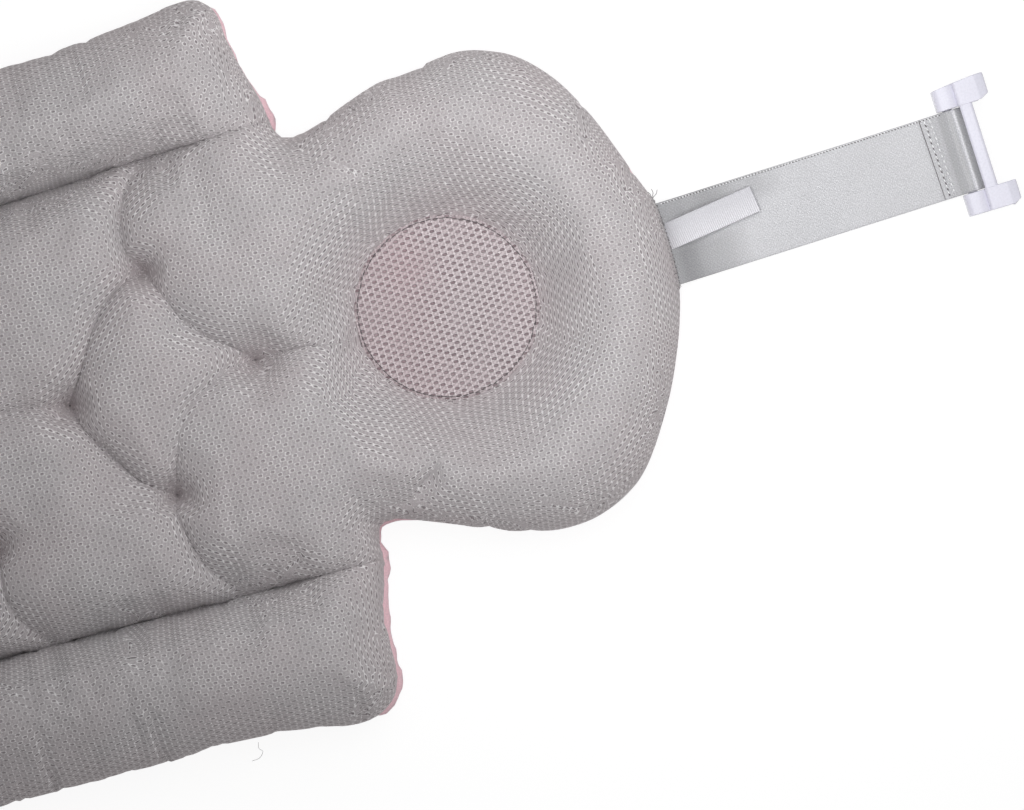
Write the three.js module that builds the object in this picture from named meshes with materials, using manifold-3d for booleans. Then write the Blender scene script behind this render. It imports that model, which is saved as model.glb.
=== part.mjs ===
// A bath cushion for a small baby: a tufted body between two side bolsters, a round head ring with a
// mesh window in its middle, and a webbing strap whose plastic buckle hooks over the rim of a tub.
// It lies on its back cloth. Lengths are millimetres. +Y runs from the feet to the head and +Z is up.
// The origin is on the underside, below the centre of the head window.

import * as THREE from "three";
import { mergeVertices } from "three/addons/utils/BufferGeometryUtils.js";
import Module from "manifold-3d";

const wasm = await Module();
wasm.setup();

// Driving sizes of the pad in plan
const padLength = 550; // foot hem to head end
const headReach = 104.5; // window centre to head end
const headWidth = 220;
const headWidestY = 30; // the head is widest this far past the window centre
const headRoundPower = 1.9; // 2 would make the head end a half ellipse
const neckFlarePower = 1.5;
const neckDrop = 53; // window centre back to the neck
const neckWidth = 180;
const shoulderWidth = 336;
const footWidth = 320;
const bolsterWidth = 64;
const bolsterFootWidth = 66;
const shoulderSlant = 10; // how far the outer end of each front edge lies back
const shoulderSetback = 5; // neck line back to the inner end of the front edge
const shoulderRadius = 15;
const footRadius = 30;
const windowRadius = 42;

// Heights above the surface that the pad lies on
const sideSeamZ = 10;
const windowSeamZ = 9;
const headCrest = 47;
const torsoCrest = 41;
const bolsterCrest = 44;

// Layers and clearances
const meshThickness = 2; // spacer mesh of the top cover
const backThickness = 1; // back cloth
const layerGap = 0.3; // between pieces that touch
const fillingGap = 0.8; // between filling and cloth
const seamRoom = 1.2; // between the two cloths at the seam
const foldGap = 0.5; // between the body and each bolster, along the sewn channel
const backRise = 8; // width of the edge band where the back cloth rises to the seam
const fillingRise = 26; // the filling leaves the surface further in, where the edges are soft

// How far the pull of each kind of sewing reaches into the filling, and how deep
const outlineReach = 36;
const channelReach = 32;
const windowReach = 36;
const tuftReach = 34;
const quiltReach = 20;
const tuftPullShare = 0.88;
const quiltPullShare = 0.34;

// Tufts: rows as distances behind the window centre, and how far out the side ones lie
const chestTuftDrop = 96;
const shoulderTuftDrop = 137;
const waistTuftDrop = 180;
const hipTuftDrop = 225;
const seatTuftDrop = 268;
const thighTuftDrop = 312;
const kneeTuftDrop = 354;
const sideTuftShare = 0.5; // of the way from the middle to the channel
const tieRadius = 2;

// Thread lines
const channelSeamStart = 42; // shoulder front back to the first stitch of the channel
const channelSeamEnd = 40; // foot hem forward to its last stitch
const seamThreadRadius = 0.7;
const windowThreadRadius = 0.8;
const rootThreadRadius = 0.6; // overlocked edge above the strap
const rootThreadRise = 0.9; // up the ring's edge from the seam
const rootThreadOverhang = 4; // past the strap on each side

// Strap
const strapWidth = 39;
const strapThickness = 1.2;
const strapReach = 142.3; // pad edge to the buckle's bar
const strapYaw = THREE.MathUtils.degToRad(2.2);
const strapDrop = 16; // length over which the strap comes down to the surface
const strapFloorGap = 0.4;
const loopRise = 26; // bar back to where the strap leaves the surface
const loopTail = 14.5; // bar back to the end of the folded tail
const loopLeaveAngle = THREE.MathUtils.degToRad(120); // where the tail leaves the bar
const stitchRowInset = 1.8; // tail end to its first row of stitches
const stitchRowPitch = 2.8;
const stitchWidth = 0.9;
const stitchThickness = 0.4;
const stitchSideInset = 1; // strap edge to the end of a row

// Label
const labelWidth = 12.5;
const labelReach = 44;
const labelThickness = 0.4;
const labelOffset = 5; // pad edge to the label's first stitch
const labelShift = 3.5; // label root to the left of the strap's middle
const labelRootLift = 0.6; // label root above the strap
const labelTipLift = 1; // label tip above the strap
const labelYaw = THREE.MathUtils.degToRad(6.2); // more than the strap's own

// Buckle
const barRadius = 2.5;
const barClearance = 0.3;
const barHeight = 9;
const lugLength = 26;
const lugWidth = 11.5;
const lugSideGap = 0.5; // strap edge to lug
const lugRearReach = 5.8; // bar centre back to the rear of the lug
const buckleHeight = 16;
const rearLeg = 9.5;
const frontLeg = 6;
const buckleWeb = 4.5; // thickness of the top between the legs
const noseBevel = 4.5;
const rearBevel = 1.5;
const frontBarWidth = 5.5;
const frontBarThickness = 4;
const frontBarReach = 6.2; // bar centre to the near face of the front bar
const frontBarInset = 0.3; // below the top of the lugs

// Places that follow from the sizes
const footY = headReach - padLength;
const neckY = -neckDrop;
const frontY = neckY - shoulderSetback;
const channelLength = frontY - footY;
const backEdgeTop = sideSeamZ - meshThickness - seamRoom;

// Materials
function finish(color, roughness) {
  return new THREE.MeshStandardMaterial({ color, roughness, metalness: 0 });
}
const greyMesh = finish(0xa8a3a1, 0.85);
const windowMesh = finish(0xb3a5a5, 0.85);
const pinkCloth = finish(0xe3a9b4, 0.8);
const fibre = finish(0xf2f0ec, 0.95);
const silverWebbing = finish(0xbfc1c2, 0.45);
const whiteRibbon = finish(0xe2dfe4, 0.5);
const greyThread = finish(0x8e8b8a, 0.7);
const whitePlastic = finish(0xe8e6f2, 0.25);

// Small helpers
const { lerp, clamp, smoothstep } = THREE.MathUtils;

function piece(name, geometry, material) {
  const mesh = new THREE.Mesh(geometry, material);
  mesh.name = name;
  return mesh;
}

function between(from, to, count) {
  return Array.from({ length: count }, (_, i) => lerp(from, to, i / count));
}

function throughTo(from, to, count) {
  return [...between(from, to, count), to];
}

function circle(radius, sides) {
  return between(0, 2 * Math.PI, sides).map((angle) => new THREE.Vector2(
    radius * Math.cos(angle),
    radius * Math.sin(angle),
  ));
}

function distanceToSegment(p, a, b) {
  const dx = b[0] - a[0];
  const dy = b[1] - a[1];
  const t = clamp(((p[0] - a[0]) * dx + (p[1] - a[1]) * dy) / (dx * dx + dy * dy), 0, 1);
  return Math.hypot(p[0] - a[0] - t * dx, p[1] - a[1] - t * dy);
}

function distanceToLine(p, line) {
  return line.slice(1).reduce((best, q, i) => Math.min(best, distanceToSegment(p, line[i], q)), Infinity);
}

// A stuffed edge rises steeply from its seam and rounds off into the crown
function roundRise(distance, reach) {
  const left = 1 - Math.min(distance / reach, 1);
  return Math.sqrt(1 - left * left);
}

// A stitch in the middle of the crown pulls a pointed hollow
function pointedRise(distance, reach) {
  return Math.sin((Math.PI / 2) * Math.min(distance / reach, 1));
}

// Plan of the pad: half widths at a place along it
function bodyShare(y) {
  return clamp((frontY - y) / channelLength, 0, 1);
}

function outerHalf(y) {
  return lerp(shoulderWidth, footWidth, bodyShare(y)) / 2;
}

function channelHalf(y) {
  return outerHalf(y) - lerp(bolsterWidth, bolsterFootWidth, bodyShare(y));
}

function centreHalf(y) {
  return y > frontY ? neckWidth / 2 : channelHalf(y) - foldGap / 2;
}

// The head's right-hand outline, from the neck to just short of the head end
const neckSteps = 5;
const crownSteps = 8;

function headSide() {
  const neck = between(0, 1, neckSteps).map((t) => [
    lerp(neckWidth, headWidth, Math.sin((Math.PI / 2) * t) ** neckFlarePower) / 2,
    lerp(neckY, headWidestY, t),
  ]);
  const crown = between(0, Math.PI / 2, crownSteps).map((angle) => [
    (headWidth / 2) * Math.cos(angle) ** (2 / headRoundPower),
    headWidestY + (headReach - headWidestY) * Math.sin(angle) ** (2 / headRoundPower),
  ]);
  return [...neck, ...crown];
}

// A patch of the plan: points, and the quads between them
function gridPatch(rowCount, columnCount, pointAt) {
  const points = [];
  const quads = [];
  const at = (i, j) => i * columnCount + j;
  for (let i = 0; i < rowCount; i += 1) {
    for (let j = 0; j < columnCount; j += 1) {
      points.push(pointAt(i, j));
      if (i && j) quads.push([at(i - 1, j - 1), at(i, j - 1), at(i, j), at(i - 1, j)]);
    }
  }
  return { points, quads };
}

const halfColumnShares = [0, 0.13, 0.26, 0.38, sideTuftShare, 0.68, 0.86, 1];
const columnShares = [...halfColumnShares.slice(1).reverse().map((s) => -s), ...halfColumnShares];
const rowsPerTuft = 3;
const footRowShares = [0, 0.36, 0.72, 1];

function torsoPatch() {
  const stops = [
    -frontY,
    chestTuftDrop,
    shoulderTuftDrop,
    waistTuftDrop,
    hipTuftDrop,
    seatTuftDrop,
    thighTuftDrop,
    kneeTuftDrop,
  ];
  const tufted = stops.slice(1).flatMap((drop, i) => between(-stops[i], -drop, rowsPerTuft));
  const rows = [neckY, ...tufted, ...footRowShares.map((s) => lerp(-kneeTuftDrop, footY, s))];
  return gridPatch(rows.length, columnShares.length, (i, j) => [
    columnShares[j] * centreHalf(rows[i]),
    rows[i],
  ]);
}

// The head is a ring of rays from the window to its outline, and meets the torso along the neck
const ringShares = [0, 0.14, 0.33, 0.56, 0.8, 1];

function headPatch() {
  const right = headSide();
  const left = right.map(([x, y]) => [-x, y]).reverse();
  const neck = columnShares.slice(1, -1).map((s) => [(s * neckWidth) / 2, neckY]);
  const rim = [...right, [0, headReach], ...left, ...neck];
  const rings = ringShares.length;
  const points = [];
  const quads = [];
  const at = (k, r) => (k % rim.length) * rings + r;
  rim.forEach(([x, y], k) => {
    const start = windowRadius / Math.hypot(x, y);
    ringShares.forEach((share, r) => {
      points.push([x * lerp(start, 1, share), y * lerp(start, 1, share)]);
      if (r) quads.push([at(k, r - 1), at(k, r), at(k + 1, r), at(k + 1, r - 1)]);
    });
  });
  return { points, quads };
}

// The right-hand bolster: its front edge slants back and its outer corners are round
const bolsterColumnShares = [0, 0.13, 0.3, 0.5, 0.7, 0.87, 1];
const cornerStepShares = [0, 0.12, 0.45];
const bolsterSteps = 13;

function cornerCut(distance, radius) {
  const left = Math.max(radius - distance, 0);
  return radius - Math.sqrt(radius ** 2 - left ** 2);
}

function bolsterPatch() {
  const rows = [
    ...cornerStepShares.map((s) => s * footRadius),
    ...throughTo(footRadius, channelLength - shoulderRadius, bolsterSteps),
    ...cornerStepShares.map((s) => channelLength - shoulderRadius * s).reverse(),
  ];
  return gridPatch(rows.length, bolsterColumnShares.length, (i, j) => {
    const share = bolsterColumnShares[j];
    const y = footY + rows[i];
    const inner = channelHalf(y) + foldGap / 2;
    const cut = cornerCut(rows[i], footRadius) + cornerCut(channelLength - rows[i], shoulderRadius);
    const slant = (shoulderSlant * share * rows[i]) / channelLength;
    return [lerp(inner, outerHalf(y) - cut, share), y - slant];
  });
}

// Patches that share edge points become one
function joinPatches(...patches) {
  const points = [];
  const quads = [];
  const found = new Map();
  const key = ([x, y]) => `${x.toFixed(3)},${y.toFixed(3)}`;
  patches.forEach((patch) => {
    const places = patch.points.map((p) => {
      if (!found.has(key(p))) {
        found.set(key(p), points.length);
        points.push(p);
      }
      return found.get(key(p));
    });
    quads.push(...patch.quads.map((quad) => quad.map((k) => places[k])));
  });
  return { points, quads };
}

// Each quad is split along the diagonal that lies closer to the true surface at its middle
function trianglesOf(patch, height) {
  return patch.quads.flatMap(([a, b, c, d]) => {
    const corners = [a, b, c, d].map((k) => patch.points[k]);
    const middle = [0, 1].map((axis) => corners.reduce((sum, p) => sum + p[axis], 0) / corners.length);
    const [za, zb, zc, zd] = corners.map(height);
    const missAC = Math.abs((za + zc) / 2 - height(middle));
    const missBD = Math.abs((zb + zd) / 2 - height(middle));
    return missAC <= missBD ? [[a, b, c], [a, c, d]] : [[a, b, d], [b, c, d]];
  });
}

function planArea(points, triangles) {
  return triangles.reduce((sum, [a, b, c]) => {
    const [p, q, r] = [points[a], points[b], points[c]];
    return sum + (q[0] - p[0]) * (r[1] - p[1]) - (r[0] - p[0]) * (q[1] - p[1]);
  }, 0);
}

// The edges that only one face uses, as start and end points
function openEdges(faces) {
  const edges = new Map();
  faces.forEach((face) => {
    face.forEach((a, k) => {
      const b = face[(k + 1) % face.length];
      if (!edges.delete(`${b},${a}`)) edges.set(`${a},${b}`, [a, b]);
    });
  });
  return [...edges.values()];
}

// A closed solid between two surfaces over the same triangles of the plan
function slab(points, triangles, lower, upper) {
  const count = points.length;
  const faces = planArea(points, triangles) > 0 ? triangles : triangles.map(([a, b, c]) => [a, c, b]);
  const position = [...points.map((p, k) => [...p, lower[k]]), ...points.map((p, k) => [...p, upper[k]])];
  const index = faces.flatMap(([a, b, c]) => [a, c, b, a + count, b + count, c + count]);
  openEdges(faces).forEach(([a, b]) => index.push(a, b, b + count, a, b + count, a + count));
  const geometry = new THREE.BufferGeometry();
  geometry.setAttribute("position", new THREE.Float32BufferAttribute(position.flat(), 3));
  geometry.setIndex(index);
  return geometry;
}

// The loops of points round a patch, longest first
function outlinesOf(patch) {
  const next = new Map(openEdges(patch.quads));
  const loops = [];
  while (next.size) {
    const loop = [];
    let k = next.keys().next().value;
    while (next.has(k)) {
      loop.push(patch.points[k]);
      const after = next.get(k);
      next.delete(k);
      k = after;
    }
    loops.push(loop);
  }
  return loops.sort((a, b) => b.length - a.length);
}

function signedArea(loop) {
  return THREE.ShapeUtils.area(loop.map((p) => new THREE.Vector2(...p)));
}

// A loop moved inwards by a distance, with its corners kept
function insetLoop(loop, distance) {
  const side = Math.sign(signedArea(loop)) * distance;
  return loop.map((p, k) => {
    const before = loop[(k + loop.length - 1) % loop.length];
    const after = loop[(k + 1) % loop.length];
    const [n, m] = [[before, p], [p, after]].map(([a, b]) => {
      const length = Math.hypot(b[0] - a[0], b[1] - a[1]);
      return [(a[1] - b[1]) / length, (b[0] - a[0]) / length];
    });
    const sum = [n[0] + m[0], n[1] + m[1]];
    const stretch = (2 * side) / (sum[0] ** 2 + sum[1] ** 2);
    return [p[0] + sum[0] * stretch, p[1] + sum[1] * stretch];
  });
}

// Sewing on the body: tufts, and curved quilting between them, mirrored about the middle
function sideTuftX(drop) {
  return sideTuftShare * centreHalf(-drop);
}

const centreTufts = [
  ["chest_tuft_tie", chestTuftDrop],
  ["waist_tuft_tie", waistTuftDrop],
  ["seat_tuft_tie", seatTuftDrop],
  ["knee_tuft_tie", kneeTuftDrop],
].map(([name, drop]) => ({ name, place: [0, -drop] }));
const sideTufts = [
  ["shoulder_tuft_tie", shoulderTuftDrop],
  ["hip_tuft_tie", hipTuftDrop],
  ["thigh_tuft_tie", thighTuftDrop],
].flatMap(([name, drop]) => [
  { name: `${name}_left`, place: [-sideTuftX(drop), -drop] },
  { name: `${name}_right`, place: [sideTuftX(drop), -drop] },
]);
const tufts = [...centreTufts, ...sideTufts];

const diamondShares = [[0, 0], [0.27, 0.34], [0.54, 0.66], [0.83, 0.9], [1, 1]]; // across, along
const shoulderArcShares = [[0, 0], [0.4, 0.02], [0.75, -0.08], [1, -0.3]]; // to the channel, along

function quiltLines() {
  const diamondSide = (tipDrop, sideDrop) => diamondShares.map(([across, along]) => [
    across * sideTuftX(sideDrop),
    -lerp(tipDrop, sideDrop, along),
  ]);
  const arc = (drop, step) => shoulderArcShares.map(([across, along]) => [
    lerp(sideTuftX(drop), centreHalf(-drop), across),
    -drop - along * step,
  ]);
  const right = [
    diamondSide(chestTuftDrop, shoulderTuftDrop),
    diamondSide(waistTuftDrop, shoulderTuftDrop),
    diamondSide(seatTuftDrop, thighTuftDrop),
    diamondSide(kneeTuftDrop, thighTuftDrop),
    arc(shoulderTuftDrop, shoulderTuftDrop - chestTuftDrop),
    arc(thighTuftDrop, thighTuftDrop - kneeTuftDrop),
  ];
  return right.flatMap((line) => [line, line.map(([x, y]) => [-x, y])]);
}

// The body: torso and head are one patch of the plan, pulled down by all of its sewing
const bodyPatch = joinPatches(torsoPatch(), headPatch());
const [bodyOutline, windowOutline] = outlinesOf(bodyPatch);
const bodyEdge = [...bodyOutline, bodyOutline[0]];
const bodyQuilting = quiltLines();

function bodyHeight(p) {
  const fromWindow = Math.max(Math.hypot(...p) - windowRadius, 0);
  const fromQuilting = Math.min(...bodyQuilting.map((line) => distanceToLine(p, line)));
  const crest = lerp(headCrest, torsoCrest, clamp(-p[1] / chestTuftDrop, 0, 1));
  const base = lerp(windowSeamZ, sideSeamZ, Math.min(fromWindow / windowReach, 1));
  const left = [
    roundRise(distanceToLine(p, bodyEdge), p[1] > frontY ? outlineReach : channelReach),
    roundRise(fromWindow, windowReach),
    1 - quiltPullShare * (1 - pointedRise(fromQuilting, quiltReach)),
    ...tufts.map(({ place }) => {
      const distance = Math.hypot(p[0] - place[0], p[1] - place[1]);
      return 1 - tuftPullShare * (1 - pointedRise(distance, tuftReach));
    }),
  ];
  return base + (crest - base) * left.reduce((product, share) => product * share, 1);
}

// A bolster: a stuffed tube with round ends
const rightBolster = bolsterPatch();
const [bolsterOutline] = outlinesOf(rightBolster);
const bolsterEdge = [...bolsterOutline, bolsterOutline[0]];

function bolsterHeight(p) {
  const rise = roundRise(distanceToLine(p, bolsterEdge), channelReach);
  return sideSeamZ + (bolsterCrest - sideSeamZ) * rise;
}

function mirrored(geometry) {
  const copy = geometry.clone();
  copy.scale(-1, 1, 1);
  const index = copy.index.array;
  for (let i = 0; i < index.length; i += 3) [index[i], index[i + 1]] = [index[i + 1], index[i]];
  return copy;
}

// The back cloth lies on the surface and rises to the seam along its edges
function backTop(fromEdge, rise = backRise) {
  return lerp(backEdgeTop, backThickness, Math.min(fromEdge / rise, 1));
}

// The mesh cover and the filling under it share one grid. The filling thins out into the seams
function coverAndFilling(patch, height) {
  const heights = patch.points.map(height);
  const triangles = trianglesOf(patch, height);
  const under = heights.map((z) => z - meshThickness);
  const [outline, ...openings] = outlinesOf(patch);
  const seams = new Set([outline, ...openings].flat());
  const gaps = patch.points.map((p) => (seams.has(p) ? layerGap : fillingGap));
  const edge = [...outline, outline[0]];
  const lower = patch.points.map((p, k) => backTop(distanceToLine(p, edge), fillingRise) + gaps[k]);
  return {
    cover: slab(patch.points, triangles, under, heights),
    filling: slab(patch.points, triangles, lower, under.map((z, k) => z - gaps[k])),
  };
}

// The back cloth shares that grid too, and closes the window's opening from below
function backCloth(patch, height) {
  const [outline, opening = []] = outlinesOf(patch);
  const edge = [...outline, outline[0]];
  const middle = patch.points.length;
  const fan = opening.map((p, k) => [
    patch.points.indexOf(opening[(k + 1) % opening.length]),
    patch.points.indexOf(p),
    middle,
  ]);
  const points = opening.length ? [...patch.points, [0, 0]] : patch.points;
  const upper = points.map((p) => backTop(distanceToLine(p, edge)));
  const lower = upper.map((z) => z - backThickness);
  return slab(points, [...trianglesOf(patch, height), ...fan], lower, upper);
}

// The window: a flat disc of open mesh inside the ring's inner edge, and the thread round it
function windowPanel() {
  const rim = insetLoop(windowOutline, layerGap);
  const triangles = rim.map((_, k) => [k, (k + 1) % rim.length, rim.length]);
  const points = [...rim, [0, 0]];
  const upper = points.map(() => windowSeamZ);
  return slab(points, triangles, upper.map((z) => z - meshThickness), upper);
}

const threadSides = 6;
const ringSegments = 36;

function windowThread() {
  const centre = new THREE.Vector2(
    windowRadius - windowThreadRadius - 2 * layerGap,
    windowSeamZ + windowThreadRadius + layerGap,
  );
  const profile = circle(windowThreadRadius, threadSides).map((p) => p.add(centre));
  const ring = new THREE.LatheGeometry([...profile, profile[0]], ringSegments);
  return ring.rotateX(Math.PI / 2);
}

// A stitch knot rests on the slopes of its hollow
const knotSides = 8;
const knotRings = 5;
const probeShares = [0, 0.35, 0.7, 0.92];

function tuftTie({ name, place }) {
  const reach = tieRadius + 2 * layerGap;
  const rests = probeShares.flatMap((share) => circle(share * reach, knotSides).map(
    (step) => bodyHeight([place[0] + step.x, place[1] + step.y]) + reach * Math.sqrt(1 - share ** 2),
  ));
  const knot = piece(name, new THREE.SphereGeometry(tieRadius, knotSides, knotRings), greyThread);
  knot.position.set(...place, Math.max(...rests));
  return knot;
}

function threadAlong(path, radius, steps) {
  const section = new THREE.Shape(circle(radius, threadSides));
  return new THREE.ExtrudeGeometry(section, { steps, extrudePath: path });
}

// A line of stitches under a channel, on the body's side of the fold
function channelSeam(name, side) {
  const fromEdge = seamThreadRadius + layerGap;
  const at = (y) => {
    const band = (1 - halfColumnShares.at(-2)) * centreHalf(y);
    const slope = Math.atan2(backEdgeTop - backThickness, band);
    const under = backTop(fromEdge, band) - backThickness - fromEdge / Math.cos(slope);
    return new THREE.Vector3(side * (centreHalf(y) - fromEdge), y, under);
  };
  const path = new THREE.LineCurve3(at(footY + channelSeamEnd), at(frontY - channelSeamStart));
  return piece(name, threadAlong(path, seamThreadRadius, 1), greyThread);
}

// The overlocked edge where the strap is sewn in runs along the foot of the ring's slope
const rootSteps = 6;

function rootThread() {
  const half = strapWidth / 2 + rootThreadOverhang;
  const out = rootThreadRadius + layerGap;
  const edgeAt = (x) => headWidestY + (headReach - headWidestY)
    * (1 - (2 * Math.abs(x) / headWidth) ** headRoundPower) ** (1 / headRoundPower);
  const points = throughTo(-half, half, rootSteps).map(
    (x) => new THREE.Vector3(x, edgeAt(x) + out / 2, sideSeamZ + rootThreadRise + rootThreadRadius),
  );
  return threadAlong(new THREE.CatmullRomCurve3(points), rootThreadRadius, rootSteps);
}

// Side views are drawn with length and height, and turned so that length is +Y and height is +Z
const standUp = new THREE.Matrix4().makeBasis(
  new THREE.Vector3(0, 1, 0),
  new THREE.Vector3(0, 0, 1),
  new THREE.Vector3(1, 0, 0),
);

function extrudeAcross(outline, width) {
  const shape = new THREE.Shape(outline.map((p) => new THREE.Vector2(...p)));
  const geometry = new THREE.ExtrudeGeometry(shape, { depth: width, bevelEnabled: false });
  return geometry.translate(0, 0, -width / 2).applyMatrix4(standUp);
}

// A flat ribbon from its centre line in side view
function ribbon(line, thickness, width) {
  const faces = [1, -1].map((side) => line.map((p, k) => {
    const before = line[Math.max(k - 1, 0)];
    const after = line[Math.min(k + 1, line.length - 1)];
    const normals = [[before, p], [p, after]].filter(([a, b]) => a !== b).map(([a, b]) => {
      const length = Math.hypot(b[0] - a[0], b[1] - a[1]);
      return [(a[1] - b[1]) / length, (b[0] - a[0]) / length];
    });
    const sum = [0, 1].map((axis) => normals[0][axis] + normals[normals.length - 1][axis]);
    const stretch = (side * thickness) / (sum[0] ** 2 + sum[1] ** 2);
    return [p[0] + sum[0] * stretch, p[1] + sum[1] * stretch];
  }));
  return extrudeAcross([...faces[0], ...faces[1].reverse()], width);
}

// The strap comes down from the seam, runs along the surface, and folds round the buckle's bar
const strapRootZ = backEdgeTop + seamRoom / 2;
const strapFlatZ = strapFloorGap + strapThickness / 2;
const loopRadius = barRadius + barClearance + strapThickness / 2;
const dropSteps = 6;
const loopSteps = 9;

function strapHeight(along) {
  return lerp(strapRootZ, strapFlatZ, smoothstep(along, 0, strapDrop));
}

function tailLine() {
  const leave = [
    strapReach + loopRadius * Math.cos(loopLeaveAngle),
    barHeight + loopRadius * Math.sin(loopLeaveAngle),
  ];
  const beneath = lerp(strapFlatZ, barHeight - loopRadius, 1 - loopTail / loopRise);
  return [leave, [strapReach - loopTail, beneath + strapThickness + 2 * layerGap]];
}

function strap() {
  const drop = throughTo(layerGap, strapDrop, dropSteps).map((s) => [s, strapHeight(s)]);
  const turn = between(-Math.PI / 2, loopLeaveAngle, loopSteps).map((angle) => [
    strapReach + loopRadius * Math.cos(angle),
    barHeight + loopRadius * Math.sin(angle),
  ]);
  const line = [...drop, [strapReach - loopRise, strapFlatZ], ...turn, ...tailLine()];
  return ribbon(line, strapThickness, strapWidth);
}

// A row of stitches across the folded tail
function stitchRow(name, fromEnd) {
  const [leave, end] = tailLine();
  const slope = Math.atan2(leave[1] - end[1], leave[0] - end[0]);
  const out = strapThickness / 2 + layerGap + stitchThickness / 2;
  const size = [strapWidth - 2 * stitchSideInset, stitchWidth, stitchThickness];
  const row = piece(name, new THREE.BoxGeometry(...size), greyThread);
  row.rotation.x = slope;
  row.position.set(
    0,
    end[0] + fromEnd * Math.cos(slope) - out * Math.sin(slope),
    end[1] + fromEnd * Math.sin(slope) + out * Math.cos(slope),
  );
  return row;
}

// The label is a folded ribbon whose two leaves lie over the strap's root
const labelSteps = 5;
const labelFoldSteps = 4;

function labelTab() {
  const leafPitch = labelThickness + layerGap;
  const rootZ = strapHeight(labelOffset) + (strapThickness + labelThickness) / 2 + labelRootLift;
  const tipZ = strapFlatZ + (strapThickness + labelThickness) / 2 + labelTipLift;
  const lower = throughTo(0, 1, labelSteps).map((t) => [
    lerp(0, labelReach - labelOffset - leafPitch, t),
    lerp(tipZ, rootZ, (1 - t) ** 2),
  ]);
  const upper = lower.map(([s, z]) => [s, z + leafPitch]).reverse();
  const fold = between(-Math.PI / 2, Math.PI / 2, labelFoldSteps).slice(1).map((angle) => [
    lower[labelSteps][0] + (leafPitch / 2) * Math.cos(angle),
    tipZ + (leafPitch / 2) * (1 + Math.sin(angle)),
  ]);
  const leaves = ribbon([...lower, ...fold, ...upper], labelThickness, labelWidth);
  const label = piece("label_tab", leaves, whiteRibbon);
  label.position.set(-labelShift, labelOffset, 0);
  label.rotation.z = labelYaw;
  return label;
}

// The buckle: two hooks side by side, joined by the bar in the strap's loop and by a front bar
function solid(geometry) {
  const plain = geometry.clone();
  plain.deleteAttribute("normal");
  plain.deleteAttribute("uv");
  const merged = mergeVertices(plain);
  return new wasm.Manifold(new wasm.Mesh({
    numProp: 3,
    vertProperties: merged.attributes.position.array,
    triVerts: new Uint32Array(merged.index.array),
  }));
}

function geometryOf(made) {
  const mesh = made.getMesh();
  const geometry = new THREE.BufferGeometry();
  geometry.setAttribute("position", new THREE.BufferAttribute(mesh.vertProperties, 3));
  geometry.setIndex(new THREE.BufferAttribute(mesh.triVerts, 1));
  return geometry;
}

const barSides = 16;

function hookBuckle() {
  const rear = -lugRearReach;
  const nose = rear + lugLength;
  const webZ = buckleHeight - buckleWeb;
  const side = [
    [rear, 0],
    [rear + rearLeg, 0],
    [rear + rearLeg, webZ],
    [nose - frontLeg, webZ],
    [nose - frontLeg, 0],
    [nose, 0],
    [nose, buckleHeight - noseBevel],
    [nose - noseBevel, buckleHeight],
    [rear + rearBevel, buckleHeight],
    [rear, buckleHeight - rearBevel],
  ];
  const lugX = strapWidth / 2 + lugSideGap + lugWidth / 2;
  const span = 2 * lugX;
  const lugs = [-1, 1].map((sign) => solid(extrudeAcross(side, lugWidth).translate(sign * lugX, 0, 0)));
  const bar = new THREE.CylinderGeometry(barRadius, barRadius, span, barSides);
  const front = new THREE.BoxGeometry(span, frontBarWidth, frontBarThickness);
  front.translate(
    0,
    frontBarReach + frontBarWidth / 2,
    buckleHeight - frontBarInset - frontBarThickness / 2,
  );
  const bars = [bar.rotateZ(Math.PI / 2).translate(0, 0, barHeight), front].map(solid);
  const joined = [...lugs, ...bars].reduce((a, b) => a.add(b));
  const buckle = piece("hook_buckle", geometryOf(joined), whitePlastic);
  buckle.position.y = strapReach;
  return buckle;
}

// Everything on the strap is placed from the pad's edge, and turned with the strap
function strapAssembly() {
  const group = new THREE.Group();
  group.position.y = headReach;
  group.rotation.z = strapYaw;
  group.add(
    piece("strap", strap(), silverWebbing),
    stitchRow("loop_stitches_outer", stitchRowInset),
    stitchRow("loop_stitches_inner", stitchRowInset + stitchRowPitch),
    labelTab(),
    hookBuckle(),
  );
  return group;
}

const cushion = new THREE.Group();
const body = coverAndFilling(bodyPatch, bodyHeight);
const bolster = coverAndFilling(rightBolster, bolsterHeight);
const bolsterBack = backCloth(rightBolster, bolsterHeight);
cushion.add(
  piece("body_top_cover", body.cover, greyMesh),
  piece("body_filling", body.filling, fibre),
  piece("body_back_cover", backCloth(bodyPatch, bodyHeight), pinkCloth),
  piece("window_panel", windowPanel(), windowMesh),
  piece("window_seam_thread", windowThread(), greyThread),
  piece("strap_root_thread", rootThread(), greyThread),
  piece("bolster_top_cover_right", bolster.cover, greyMesh),
  piece("bolster_top_cover_left", mirrored(bolster.cover), greyMesh),
  piece("bolster_filling_right", bolster.filling, fibre),
  piece("bolster_filling_left", mirrored(bolster.filling), fibre),
  piece("bolster_back_cover_right", bolsterBack, pinkCloth),
  piece("bolster_back_cover_left", mirrored(bolsterBack), pinkCloth),
  channelSeam("channel_seam_right", 1),
  channelSeam("channel_seam_left", -1),
  ...tufts.map(tuftTie),
  strapAssembly(),
);

export default cushion;
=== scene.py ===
# %% [markdown]
# # An infant bath cushion
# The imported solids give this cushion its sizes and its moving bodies. This script dresses them: stuffed
# covers of knitted mesh, a pink back, stitched threads, a satin strap and a moulded buckle. It works in
# the solids' frame: +Y runs from feet to head, +Z is up, and the origin lies below the head window.

# %% Load the solids and note their box
from math import cos, exp, hypot, pi, radians, sin, sqrt

import bpy
import numpy as np
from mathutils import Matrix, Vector
from mathutils.bvhtree import BVHTree
from mathutils.geometry import delaunay_2d_cdt


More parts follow.
